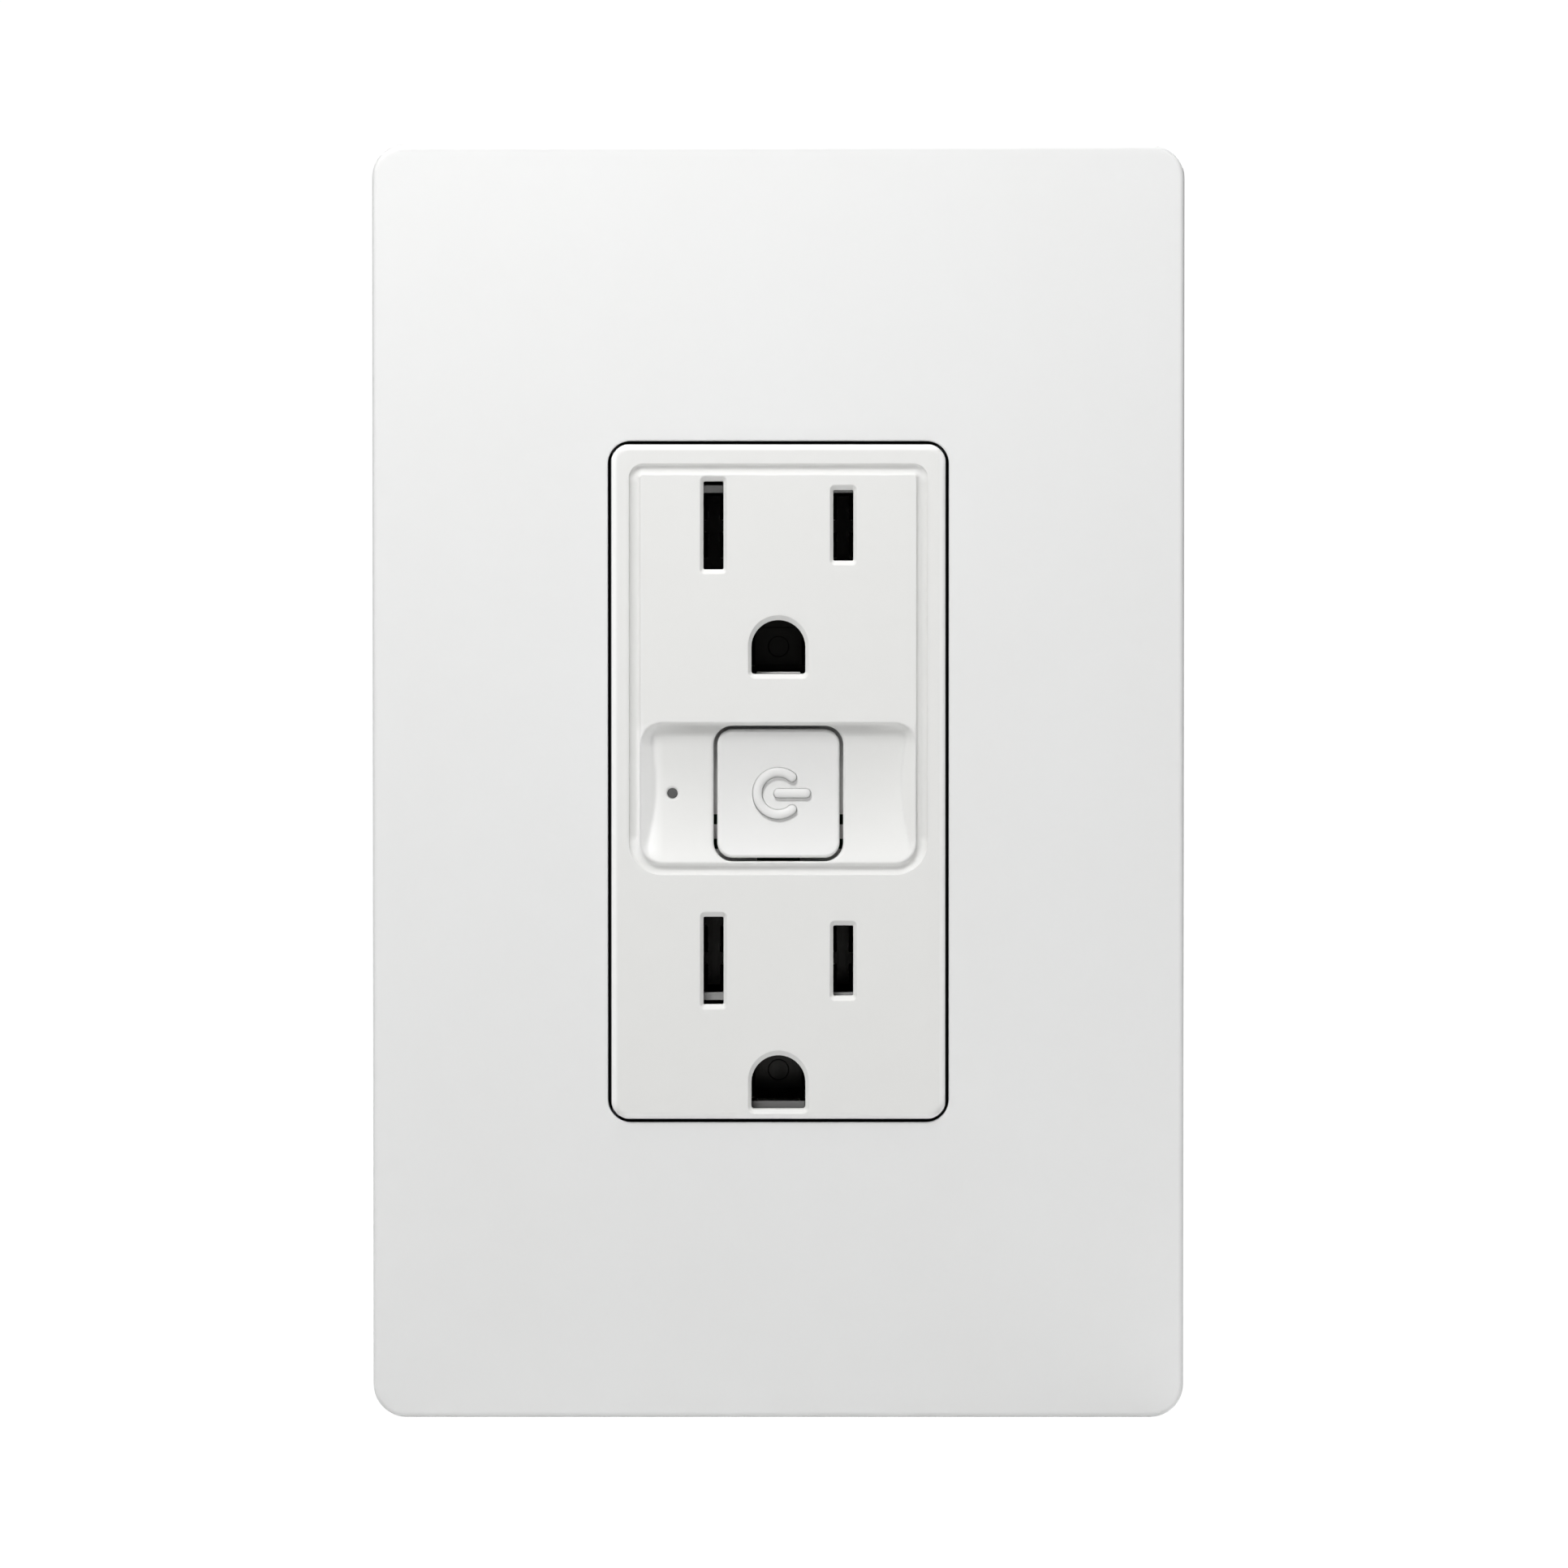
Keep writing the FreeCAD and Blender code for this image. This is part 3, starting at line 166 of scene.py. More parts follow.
def plated_metal():
    """Plating over stamped metal: clouded brightness, draw lines and rubbed edges."""
    group, takes, gives = new_effect("plated metal", [
        ("Bright", "Color", (0.6, 0.6, 0.6, 1)), ("Dull", "Color", (0.4, 0.4, 0.4, 1)),
        ("Rubbed", "Color", (0.7, 0.7, 0.7, 1)), ("Edge", "Float", 0.0),
        ("Smooth", "Float", 0.2), ("Coarse", "Float", 0.45)],
        [("Colour", "Color", None), ("Roughness", "Float", None), ("Height", "Float", None)])
    clouds = noise(group, place_of(group), scale=240.0, detail=4.0, rough=0.6)
    lines = noise(group, place_of(group, stretch=(1.0, 12.0, 0.06)), scale=5200.0)
    pits = noise(group, place_of(group), scale=2600.0, detail=3.0, rough=0.7)
    dull = spread(group, clouds, 0.35, 0.68)
    body = tint_between(group, dull, takes.outputs["Bright"], takes.outputs["Dull"])
    rubbed = sum_of(group, "MULTIPLY", takes.outputs["Edge"], spread(group, pits, 0.3, 0.6))
    grey = put(group, "ShaderNodeMapRange", Value=sum_of(group, "ADD", dull, lines),
               From_Min=0.2, From_Max=1.6, To_Min=takes.outputs["Smooth"],
               To_Max=takes.outputs["Coarse"]).outputs[0]
    fill(group, gives, {
        "Colour": tint_between(group, rubbed, body, takes.outputs["Rubbed"]),
        "Roughness": grey,
        "Height": sum_of(group, "ADD", sum_of(group, "MULTIPLY", lines, 0.6), pits)})
    return group


edges = rounded_edges()
plating = plated_metal()


def metal(name, bright, dull, rubbed, smooth, coarse, radius=0.00015, depth=0.000002):
    """Plated or bare metal, from the group values of this one finish."""
    finish, tree, shader = new_finish(name)
    turned = effect(tree, edges, Radius=radius)
    skin = effect(tree, plating, Bright=bright, Dull=dull, Rubbed=rubbed,
                  Edge=turned.outputs["Edge"], Smooth=smooth, Coarse=coarse)
    bump = put(tree, "ShaderNodeBump", Distance=depth, Height=skin.outputs["Height"],
               Normal=turned.outputs["Normal"])
    fill(tree, shader, {"Base Color": skin.outputs["Colour"], "Metallic": 1.0,
                        "Roughness": skin.outputs["Roughness"], "Normal": bump.outputs[0]})
    return finish


def dress(name, finish):
    """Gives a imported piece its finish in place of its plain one."""
    piece = nodes[name]
    piece.data.materials.clear()
    piece.data.materials.append(finish)


zinc = metal("zinc plated steel", bright=(0.62, 0.64, 0.66, 1), dull=(0.44, 0.46, 0.48, 1),
             rubbed=(0.72, 0.72, 0.71, 1), smooth=0.22, coarse=0.42)
dress("yoke_strap", zinc)

# ---------------------------------------------------------------------------
# Contact carrier.
# The inner moulding that holds the blade and ground contacts in their pockets.
# Injection moulded from dark grey glass-filled nylon, pushed into the body.
# ---------------------------------------------------------------------------


def moulded_plastic():
    """A moulded skin: faint flow marks, spark-eroded grain and a shine that varies."""
    group, takes, gives = new_effect("moulded plastic", [
        ("Tint", "Color", (0.8, 0.8, 0.8, 1)), ("Flow", "Color", (0.78, 0.78, 0.78, 1)),
        ("Worn", "Color", (0.8, 0.8, 0.8, 1)), ("Edge", "Float", 0.0),
        ("Grain", "Float", 5000.0), ("Smooth", "Float", 0.4), ("Coarse", "Float", 0.5)],
        [("Colour", "Color", None), ("Roughness", "Float", None), ("Height", "Float", None)])
    flow = noise(group, place_of(group, stretch=(1.0, 1.0, 0.45)), scale=70.0, detail=3.0)
    grain = noise(group, place_of(group), scale=takes.outputs["Grain"], rough=0.6)
    body = tint_between(group, spread(group, flow, 0.3, 0.7), takes.outputs["Tint"],
                        takes.outputs["Flow"])
    rubbed = sum_of(group, "MULTIPLY", takes.outputs["Edge"], spread(group, grain, 0.25, 0.7))
    shine = put(group, "ShaderNodeMapRange", Value=sum_of(group, "ADD", flow, grain),
                From_Min=0.6, From_Max=1.4, To_Min=takes.outputs["Smooth"],
                To_Max=takes.outputs["Coarse"]).outputs[0]
    fill(group, gives, {"Colour": tint_between(group, rubbed, body, takes.outputs["Worn"]),
                        "Roughness": shine, "Height": grain})
    return group


plastic_skin = moulded_plastic()


def moulded(name, tint, flow, worn, smooth, coarse, grain=5000.0, depth=0.000002,
            radius=0.0002, specular=0.5):
    """Moulded plastic, from the group values of this one finish."""
    finish, tree, shader = new_finish(name)
    turned = effect(tree, edges, Radius=radius)
    skin = effect(tree, plastic_skin, Tint=tint, Flow=flow, Worn=worn,
                  Edge=turned.outputs["Edge"], Grain=grain, Smooth=smooth, Coarse=coarse)
    bump = put(tree, "ShaderNodeBump", Distance=depth, Height=skin.outputs["Height"],
               Normal=turned.outputs["Normal"])
    fill(tree, shader, {"Base Color": skin.outputs["Colour"],
                        "Roughness": skin.outputs["Roughness"], "Normal": bump.outputs[0],
                        "Specular IOR Level": specular})
    return finish


carrier_nylon = moulded("carrier nylon", tint=(0.29, 0.29, 0.287, 1), flow=(0.26, 0.26, 0.258, 1),
                        worn=(0.3, 0.3, 0.298, 1), smooth=0.55, coarse=0.75, grain=3200.0, depth=0.000006,
                        radius=0.0001)
dress("contact_carrier", carrier_nylon)


def solid_piece(name, points, faces, finish, body, slot_name, smooth=False):
    """A mesh piece in place in the row frame, which rides on a CAD body."""
    mesh = bpy.data.meshes.new(name)
    mesh.from_pydata([tuple(p) for p in points], [], faces)
    mesh.materials.append(finish)
    for face in mesh.polygons:
        face.use_smooth = smooth
    piece = bpy.data.objects.new(name, mesh)
    bpy.context.scene.collection.objects.link(piece)
    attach(piece, body)
    return piece


def bars(boxes, chamfer):
    """Points and faces of chamfered bars, each given by its lowest and highest corner."""
    points, faces = [], []
    for low, high in boxes:
        bar = bmesh.new()
        bmesh.ops.create_cube(bar, size=1.0)
        size = Vector(high) - Vector(low)
        middle = (Vector(high) + Vector(low)) / 2
        for corner in bar.verts:
            corner.co = Vector(a * b for a, b in zip(corner.co, size)) + middle
        bmesh.ops.bevel(bar, geom=bar.edges[:], offset=chamfer, segments=2, affect="EDGES",
                        profile=0.5)
        start = len(points)
        bar.verts.ensure_lookup_table()
        points += [corner.co.copy() for corner in bar.verts]
        faces += [[start + corner.index for corner in face.verts] for face in bar.faces]
        bar.free()
    return points, faces


# A pale rest lies on the floor of each ground pocket and catches the light under the pin.
pale_rest = moulded("rest acetal", tint=(0.82, 0.82, 0.8, 1), flow=(0.76, 0.76, 0.74, 1),
                    worn=(0.86, 0.86, 0.85, 1), smooth=0.35, coarse=0.5, grain=3000.0, depth=0.000003,
                    radius=0.00006)
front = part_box("contact_carrier")[0].y
web, rest_half, rest_length, rest_height, rest_drop = 0.00172, 0.00215, 0.011, 0.00016, 0.00262
rests = []
for name in ("ground_contact_upper", "ground_contact_lower"):
    low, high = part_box(name)
    foot = (low.z + high.z) / 2 - rest_drop
    rests.append(((-rest_half, front + web, foot), (rest_half, low.y + rest_length, foot + rest_height)))
solid_piece("ground_pin_rests", *bars(rests, chamfer=0.00004), pale_rest, "device", "carrier_grey")
# A soft lip stands across the foot of the lower ground opening; the pin presses it aside.
lip_rubber = moulded("lip rubber", tint=(0.15, 0.15, 0.148, 1), flow=(0.13, 0.13, 0.128, 1),
                     worn=(0.17, 0.17, 0.168, 1), smooth=0.5, coarse=0.7, grain=3000.0, depth=0.000004,
                     radius=0.00006)
lip_half, lip_front, lip_back, lip_height, lip_drop = 0.00261, 0.00006, 0.0004, 0.00067, 0.00263
low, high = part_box("ground_contact_lower")
foot = (low.z + high.z) / 2 - lip_drop
lip = [((-lip_half, front + lip_front, foot), (lip_half, front + lip_back, foot + lip_height))]
solid_piece("ground_pin_lip", *bars(lip, chamfer=0.00005), lip_rubber, "device", "carrier_grey")

# ---------------------------------------------------------------------------
# Blade contacts, ground contacts and rivets.
# Sprung grips for the plug, stamped and bent from half-hard brass strip. The
# ground grips are riveted to a rail that ends in the strap.
# ---------------------------------------------------------------------------

brass = metal("stamped brass", bright=(0.72, 0.5, 0.2, 1), dull=(0.52, 0.33, 0.12, 1),
              rubbed=(0.86, 0.66, 0.34, 1), smooth=0.2, coarse=0.42, radius=0.0001)
# The contacts' tin is coloured near black as painted shade for the dark inside of the slots; its rubbed
# edges are paler, partly as wear and partly as painted glints.
tinned = metal("tin plate darkened as shade", bright=(0.09, 0.088, 0.084, 1), dull=(0.05, 0.049, 0.046, 1),
               rubbed=(0.5, 0.49, 0.46, 1), smooth=0.12, coarse=0.24, radius=0.0001)
tree = tinned.node_tree
shader = tree.nodes["Principled BSDF"]
# A band behind the mouth is bright, partly as wiped by a plug's blades and partly as a painted glint;
# further in, the tin is darker as painted shade.
inward = sum_of(tree, "SUBTRACT", axis_of(tree, "Y"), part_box("neutral_contact_strip")[0].y)
wiped_glint = sum_of(tree, "MULTIPLY", spread(tree, inward, 0.0012, 0.002),
               spread(tree, inward, 0.0034, 0.0044, 1.0, 0.0))
blotches = noise(tree, place_of(tree), scale=900.0)
wiped_glint = sum_of(tree, "MULTIPLY", wiped_glint, spread(tree, blotches, 0.4, 0.6))
dark = shader.inputs["Base Color"].links[0].from_socket
dark = tint_between(tree, spread(tree, inward, 0.006, 0.009), dark, (0.045, 0.044, 0.042, 1))
tree.links.new(tint_between(tree, wiped_glint, dark, (0.62, 0.6, 0.56, 1)), shader.inputs["Base Color"])
for name in ("neutral_contact_strip", "hot_contact_strip", "ground_contact_upper",
             "ground_contact_lower", "ground_strip", "ground_rivets"):
    dress(name, tinned)


def spun(profile, foot, steps=48):
    """A solid turned about +Y, from (radius, depth) points that start and end on the axis."""
    foot = Vector(foot)
    points = [foot + Vector((0, profile[0][1], 0))]
    for radius, depth in profile[1:-1]:
        for step in range(steps):
            turn = 2 * math.pi * step / steps
            points.append(foot + Vector((radius * math.cos(turn), depth, radius * math.sin(turn))))
    points.append(foot + Vector((0, profile[-1][1], 0)))
    rings = len(profile) - 2
    faces = []
    for step in range(steps):
        after = (step + 1) % steps
        faces.append((0, 1 + step, 1 + after))
        for ring in range(rings - 1):
            a, b = 1 + ring * steps, 1 + (ring + 1) * steps
            faces.append((a + step, b + step, b + after, a + after))
        last = 1 + (rings - 1) * steps
        faces.append((last + step, len(points) - 1, last + after))
    return points, faces


def aimed(points, seat, out):
    """Turns points built along +Y so that +Y looks along out, and moves them to seat."""
    turn = Vector((0, 1, 0)).rotation_difference(Vector(out)).to_matrix().to_4x4()
    return [Matrix.Translation(Vector(seat)) @ turn @ Vector(p) for p in points]


def gathered(parts):
    """Joins (points, faces) pairs into one pair."""
    points, faces = [], []
    for more_points, more_faces in parts:
        start = len(points)
        points += more_points
        faces += [[start + i for i in face] for face in more_faces]
    return points, faces


# Each tine wipes the blade with a rolled bead, kept bright by the blades.
wiped_tin = metal("wiped tin", bright=(0.62, 0.61, 0.58, 1), dull=(0.4, 0.39, 0.37, 1),
                  rubbed=(0.74, 0.73, 0.7, 1), smooth=0.26, coarse=0.42, radius=0.00004)
bead_radius, bead_length, bead_start = 0.00028, 0.0011, 0.00055
bead_side, bead_depth, outlet_spacing = 0.00083, 0.0022, 0.04259
bead_end = [(0, 0), (bead_radius * 0.6, 0.00006), (bead_radius * 0.92, 0.00016), (bead_radius, 0.0003)]
bead = bead_end + [(radius, bead_length - depth) for radius, depth in reversed(bead_end)]
points, faces = spun(bead, (0, 0, 0), steps=20)
beads = []
for name in ("neutral_contact_strip", "hot_contact_strip"):
    low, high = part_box(name)
    for outlet, side, end in product((-0.5, 0.5), (-1, 1), (-1, 1)):
        seat = Vector(((low.x + high.x) / 2 + side * bead_side, low.y + bead_depth,
                       (low.z + high.z) / 2 + outlet * outlet_spacing + end * bead_start))
        beads.append((aimed(points, seat, (0, 0, end)), faces))
solid_piece("contact_wiper_beads", *gathered(beads), wiped_tin, "device", "tinned_brass", smooth=True)

# ---------------------------------------------------------------------------
# Face cover, push button and light pipe.
# The white front that the plugs enter: moulded polycarbonate with a satin skin.
# The button slides in it, and a smoked light pipe shows the indicator.
# ---------------------------------------------------------------------------


def within(tree, half_width, bottom, top, blur):
    """1 inside an upright rectangle on the front, fading to 0 over blur metres outside."""
    aside = sum_of(tree, "ABSOLUTE", axis_of(tree, "X"))
    across = spread(tree, aside, half_width, half_width + blur, 1.0, 0.0)
    middle = sum_of(tree, "SUBTRACT", axis_of(tree, "Z"), (bottom + top) / 2)
    half_height = (top - bottom) / 2
    along = spread(tree, sum_of(tree, "ABSOLUTE", middle), half_height, half_height + blur, 1.0, 0.0)
    return sum_of(tree, "MULTIPLY", across, along)


face_finish = moulded("face polycarbonate", tint=(0.79, 0.79, 0.775, 1), flow=(0.78, 0.78, 0.765, 1),
                      worn=(0.83, 0.83, 0.82, 1), smooth=0.5, coarse=0.58, grain=5200.0, depth=0.0000008,
                      radius=0.00018, specular=0.35)
tree = face_finish.node_tree
shader = tree.nodes["Principled BSDF"]
white = shader.inputs["Base Color"].links[0].from_socket
# The trough's walls are rounded more than the other edges.
bowl = within(tree, half_width=0.0131, bottom=-0.0075, top=0.0053, blur=0.0008)
turned = next(n for n in tree.nodes if n.type == "GROUP" and n.node_tree == edges)
sharp_edge, bowl_edge = 0.00014, 0.0006
tree.links.new(spread(tree, bowl, 0.0, 1.0, sharp_edge, bowl_edge), turned.inputs["Radius"])
# Painted light and shade: the rim is tinted paler as a painted highlight on its rounded edge, the
# trough's left end paler as painted light, and the trough's top wall and the groove greyer as painted
# shade.
aside = sum_of(tree, "ABSOLUTE", axis_of(tree, "X"))
painted_rim_highlight = sum_of(tree, "SUBTRACT", 1.0,
             within(tree, half_width=0.0157, bottom=-0.03235, top=0.03235, blur=0.0003))
painted_left_end_light = sum_of(tree, "MULTIPLY",
                   within(tree, half_width=0.0134, bottom=-0.0066, top=0.0046, blur=0.0012),
                   spread(tree, axis_of(tree, "X"), -0.0126, -0.0112, 1.0, 0.0))
painted_top_wall_shade = sum_of(tree, "MULTIPLY", spread(tree, axis_of(tree, "Z"), 0.0044, 0.0053),
                  spread(tree, axis_of(tree, "Z"), 0.00545, 0.0058, 1.0, 0.0))
painted_top_wall_shade = sum_of(tree, "MULTIPLY", painted_top_wall_shade, spread(tree, aside, 0.0082, 0.0124, 1.0, 0.0))
painted_groove_shade = sum_of(tree, "SUBTRACT",
              within(tree, half_width=0.0143, bottom=-0.0052, top=0.0292, blur=0.0006),
              within(tree, half_width=0.0137, bottom=-0.0083, top=0.031, blur=0.0003), clamp=True)
# The side walls are tinted dark as painted shade, for the narrow gap round the face.
outside = sum_of(tree, "SUBTRACT", 1.0,
                 within(tree, half_width=0.0163, bottom=-0.03295, top=0.03295, blur=0.00005))
painted_gap_shade = sum_of(tree, "MULTIPLY", outside, spread(tree, axis_of(tree, "Y"), -0.00685, -0.00665))
# Each tint in this loop is painted light or shade.
for where, tint in ((painted_rim_highlight, (0.93, 0.93, 0.92, 1)), (painted_left_end_light, (0.91, 0.91, 0.9, 1)),
                    (painted_top_wall_shade, (0.58, 0.58, 0.568, 1)), (painted_groove_shade, (0.7, 0.7, 0.685, 1)),
                    (painted_gap_shade, (0.02, 0.02, 0.02, 1))):
    white = tint_between(tree, where, white, tint)
tree.links.new(white, shader.inputs["Base Color"])
dress("face_cover", face_finish)

button_finish = moulded("button polycarbonate", tint=(0.79, 0.79, 0.78, 1), flow=(0.78, 0.78, 0.77, 1),
                        worn=(0.83, 0.83, 0.82, 1), smooth=0.45, coarse=0.55, grain=5200.0,
                        depth=0.0000008, radius=0.00012, specular=0.35)
# The raised on-off sign lies on its side; its top is rounded like a bead from wall to wall.
tree = button_finish.node_tree
shader = tree.nodes["Principled BSDF"]
sign_z, ring_radius, bar_end = -0.00114, 0.002065, 0.0027
half_line, bead_rise, opening = 0.0005, 0.00028, math.radians(50)
across = axis_of(tree, "X")
up = sum_of(tree, "SUBTRACT", axis_of(tree, "Z"), sign_z)


def apart(tree, across, up, x, z):
    """How far the point (across, up) lies from (x, z)."""
    dx = sum_of(tree, "SUBTRACT", across, x)
    dz = sum_of(tree, "SUBTRACT", up, z)
    both = sum_of(tree, "ADD", sum_of(tree, "MULTIPLY", dx, dx), sum_of(tree, "MULTIPLY", dz, dz))
    return sum_of(tree, "SQRT", both)


from_middle = apart(tree, across, up, 0.0, 0.0)
from_ring = sum_of(tree, "ABSOLUTE", sum_of(tree, "SUBTRACT", from_middle, ring_radius))
turned_by = sum_of(tree, "ABSOLUTE", sum_of(tree, "ARCTAN2", up, across))
from_ring = sum_of(tree, "ADD", from_ring, spread(tree, turned_by, opening - 0.001, opening, 0.01, 0.0))
tips = apart(tree, across, sum_of(tree, "ABSOLUTE", up), ring_radius * math.cos(opening),
             ring_radius * math.sin(opening))
beyond = sum_of(tree, "SUBTRACT", across, spread(tree, across, 0.0, bar_end, 0.0, bar_end))
from_bar = apart(tree, beyond, up, 0.0, 0.0)
near = sum_of(tree, "MINIMUM", sum_of(tree, "MINIMUM", from_ring, tips), from_bar)
share = sum_of(tree, "DIVIDE", near, half_line)
left_over = sum_of(tree, "SUBTRACT", 1.0, sum_of(tree, "MULTIPLY", share, share))
crown = sum_of(tree, "SQRT", sum_of(tree, "MAXIMUM", left_over, 0.0))
grain = shader.inputs["Normal"].links[0].from_socket
rounding = put(tree, "ShaderNodeBump", Distance=bead_rise, Height=crown, Normal=grain)
tree.links.new(rounding.outputs[0], shader.inputs["Normal"])
dress("power_button", button_finish)

dress("light_pipe", moulded("smoked light pipe", tint=(0.105, 0.105, 0.104, 1),
                            flow=(0.095, 0.095, 0.094, 1), worn=(0.13, 0.13, 0.13, 1), smooth=0.3,
                            coarse=0.42, grain=3600.0, depth=0.000001, radius=0.0001))

# ---------------------------------------------------------------------------
# Control board.
# The small board behind the button: fibreglass laminate with green solder mask.
# It carries the sealed push switch, the indicator and the shielded radio.
# ---------------------------------------------------------------------------


def etched_board():
    """Solder mask over etched copper: raised tracks and a faint weave."""
    group, takes, gives = new_effect("etched board", [
        ("Mask", "Color", (0.01, 0.1, 0.03, 1)), ("Track", "Color", (0.02, 0.16, 0.05, 1)),
        ("Pitch", "Float", 500.0)],
        [("Colour", "Color", None), ("Roughness", "Float", None), ("Height", "Float", None)])
    cells = put(group, "ShaderNodeTexVoronoi", Vector=place_of(group, (1, 0, 1)),
                Scale=takes.outputs["Pitch"], Randomness=0.75)
    cells.distance = "MANHATTAN"
    cells.feature = "F1"
    tracks = spread(group, cells.outputs["Distance"], 0.42, 0.46)
    weave = noise(group, place_of(group, stretch=(1, 0.2, 1)), scale=4200.0)
    cover = sum_of(group, "MULTIPLY", tracks, 0.8)
    fill(group, gives, {
        "Colour": tint_between(group, cover, takes.outputs["Mask"], takes.outputs["Track"]),
        "Roughness": spread(group, weave, 0.3, 0.7, 0.28, 0.5),
        "Height": sum_of(group, "ADD", tracks, sum_of(group, "MULTIPLY", weave, 0.25))})
    return group


board_skin = etched_board()


def laminate(name, mask, track, pitch):
    """Circuit board, from the group values of this one board."""
    finish, tree, shader = new_finish(name)
    skin = effect(tree, board_skin, Mask=mask, Track=track, Pitch=pitch)
    track_height = 0.00003
    bump = put(tree, "ShaderNodeBump", Distance=track_height, Height=skin.outputs["Height"])
    fill(tree, shader, {"Base Color": skin.outputs["Colour"],
                        "Roughness": skin.outputs["Roughness"], "Normal": bump.outputs[0]})
    return finish


green_board = laminate("green board", mask=(0.008, 0.085, 0.03, 1), track=(0.02, 0.17, 0.06, 1),
                       pitch=420.0)
dress("control_board", green_board)
dress("radio_module", laminate("radio board", mask=(0.006, 0.06, 0.05, 1), track=(0.015, 0.13, 0.1, 1),
                               pitch=900.0))
dress("radio_shield", zinc)
black = moulded("switch black", tint=(0.02, 0.02, 0.021, 1), flow=(0.014, 0.014, 0.015, 1),
                worn=(0.05, 0.05, 0.05, 1), smooth=0.4, coarse=0.6, grain=4200.0, depth=0.000003,
                radius=0.0001)
dress("tact_switch", black)
dress("tact_plunger", moulded("plunger black", tint=(0.03, 0.03, 0.03, 1), flow=(0.02, 0.02, 0.02, 1),
                              worn=(0.07, 0.07, 0.07, 1), smooth=0.45, coarse=0.65, grain=3000.0,
                              depth=0.000002, radius=0.0001))
dress("status_led", moulded("lamp resin", tint=(0.86, 0.88, 0.8, 1), flow=(0.78, 0.82, 0.7, 1),
                            worn=(0.92, 0.92, 0.88, 1), smooth=0.12, coarse=0.25, grain=2600.0,
                            depth=0.000001, radius=0.0001))
dress("header_pins", metal("gilt pin", bright=(0.85, 0.63, 0.22, 1), dull=(0.66, 0.46, 0.15, 1),
                           rubbed=(0.92, 0.74, 0.38, 1), smooth=0.15, coarse=0.32, radius=0.00008))

# ---------------------------------------------------------------------------
# Power board.
# The wider board at the back: relay, supply transformer, capacitors, surge
# disc, fusing resistor and driver chip, all soldered through its holes.
# ---------------------------------------------------------------------------

dress("power_board", green_board)
dress("relay_case", moulded("relay case", tint=(0.012, 0.016, 0.03, 1), flow=(0.009, 0.012, 0.024, 1),
                            worn=(0.05, 0.055, 0.07, 1), smooth=0.32, coarse=0.5, grain=2600.0,
                            depth=0.000004, radius=0.00025))


def wound_wire():
    """Close turns of wire or tape: round ridges across the winding, with painted shade in the valleys
    between turns.
    """
    group, takes, gives = new_effect("wound wire", [
        ("Top", "Color", (0.6, 0.3, 0.1, 1)), ("Valley", "Color", (0.2, 0.08, 0.03, 1)),
        ("Turns", "Float", 1500.0)],
        [("Colour", "Color", None), ("Roughness", "Float", None), ("Height", "Float", None)])
    bands = put(group, "ShaderNodeTexWave", Vector=place_of(group), Scale=takes.outputs["Turns"],
                Distortion=0.4, Detail=1.0)
    bands.bands_direction = "Y"
    bands.wave_profile = "SIN"
    ridge = bands.outputs["Fac"]
    spots = noise(group, place_of(group), scale=1800.0)
    fill(group, gives, {
        "Colour": tint_between(group, ridge, takes.outputs["Valley"], takes.outputs["Top"]),
        "Roughness": spread(group, spots, 0.3, 0.7, 0.22, 0.45),
        "Height": ridge})
    return group


winding_skin = wound_wire()


def winding(name, top, valley, turns, depth, metallic):
    """Wound wire or tape, from the group values of this one winding."""
    finish, tree, shader = new_finish(name)
    skin = effect(tree, winding_skin, Top=top, Valley=valley, Turns=turns)
    bump = put(tree, "ShaderNodeBump", Distance=depth, Height=skin.outputs["Height"])
    fill(tree, shader, {"Base Color": skin.outputs["Colour"], "Metallic": metallic,
                        "Roughness": skin.outputs["Roughness"], "Normal": bump.outputs[0]})
    return finish


# The coil is wound here turn by turn, between the cheeks of its bobbin.
coil_wire = winding("enamelled copper", top=(0.72, 0.3, 0.12, 1), valley=(0.45, 0.17, 0.07, 1),
                    turns=1300.0, depth=0.000004, metallic=1.0)
low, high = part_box("relay_coil")
middle = (low + high) / 2
coil_radius, swell, turns, steps = 0.00338, 0.000189, 17, 6
cheek, coil_top, room = 0.001, 0.0094, 0.0074
outline = [(0, cheek)]
for step in range(turns * steps + 1):
    ridge = abs(math.sin(math.pi * step / steps)) * swell
    outline.append((coil_radius + ridge, cheek + room * step / (turns * steps)))
outline.append((0, cheek + room))
coil = solid_piece("relay_coil_winding", *spun(outline, (middle.x, low.y, middle.z)), coil_wire,
                   "device", "winding_copper", smooth=True)
bobbin_nylon = moulded("bobbin nylon", tint=(0.06, 0.06, 0.062, 1), flow=(0.045, 0.045, 0.047, 1),
                       worn=(0.12, 0.12, 0.12, 1), smooth=0.4, coarse=0.6, grain=2600.0, depth=0.000004,
                       radius=0.0001)
half = (high.x - low.x) / 2
cheeks = [((middle.x - half, low.y + a, middle.z - half), (middle.x + half, low.y + b, middle.z + half))
          for a, b in ((0.0, cheek), (cheek + room, coil_top))]
bobbin = solid_piece("relay_coil_cheeks", *bars(cheeks, chamfer=0.0002), bobbin_nylon, "device",
                     "relay_black")
pole_radius, pole_top, pole_edge = 0.0016, 0.0099, 0.0001
pole = [(0, cheek), (pole_radius, cheek), (pole_radius, pole_top - pole_edge),
        (pole_radius - pole_edge, pole_top), (0, pole_top)]
soft_pole = metal("pole iron", bright=(0.56, 0.55, 0.53, 1), dull=(0.42, 0.41, 0.39, 1),
                  rubbed=(0.68, 0.68, 0.66, 1), smooth=0.28, coarse=0.48)
core = solid_piece("relay_coil_core", *spun(pole, (middle.x, low.y, middle.z)), soft_pole, "device",
                   "plated_steel")
for piece in (coil, bobbin, core):
    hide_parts("relay_coil")
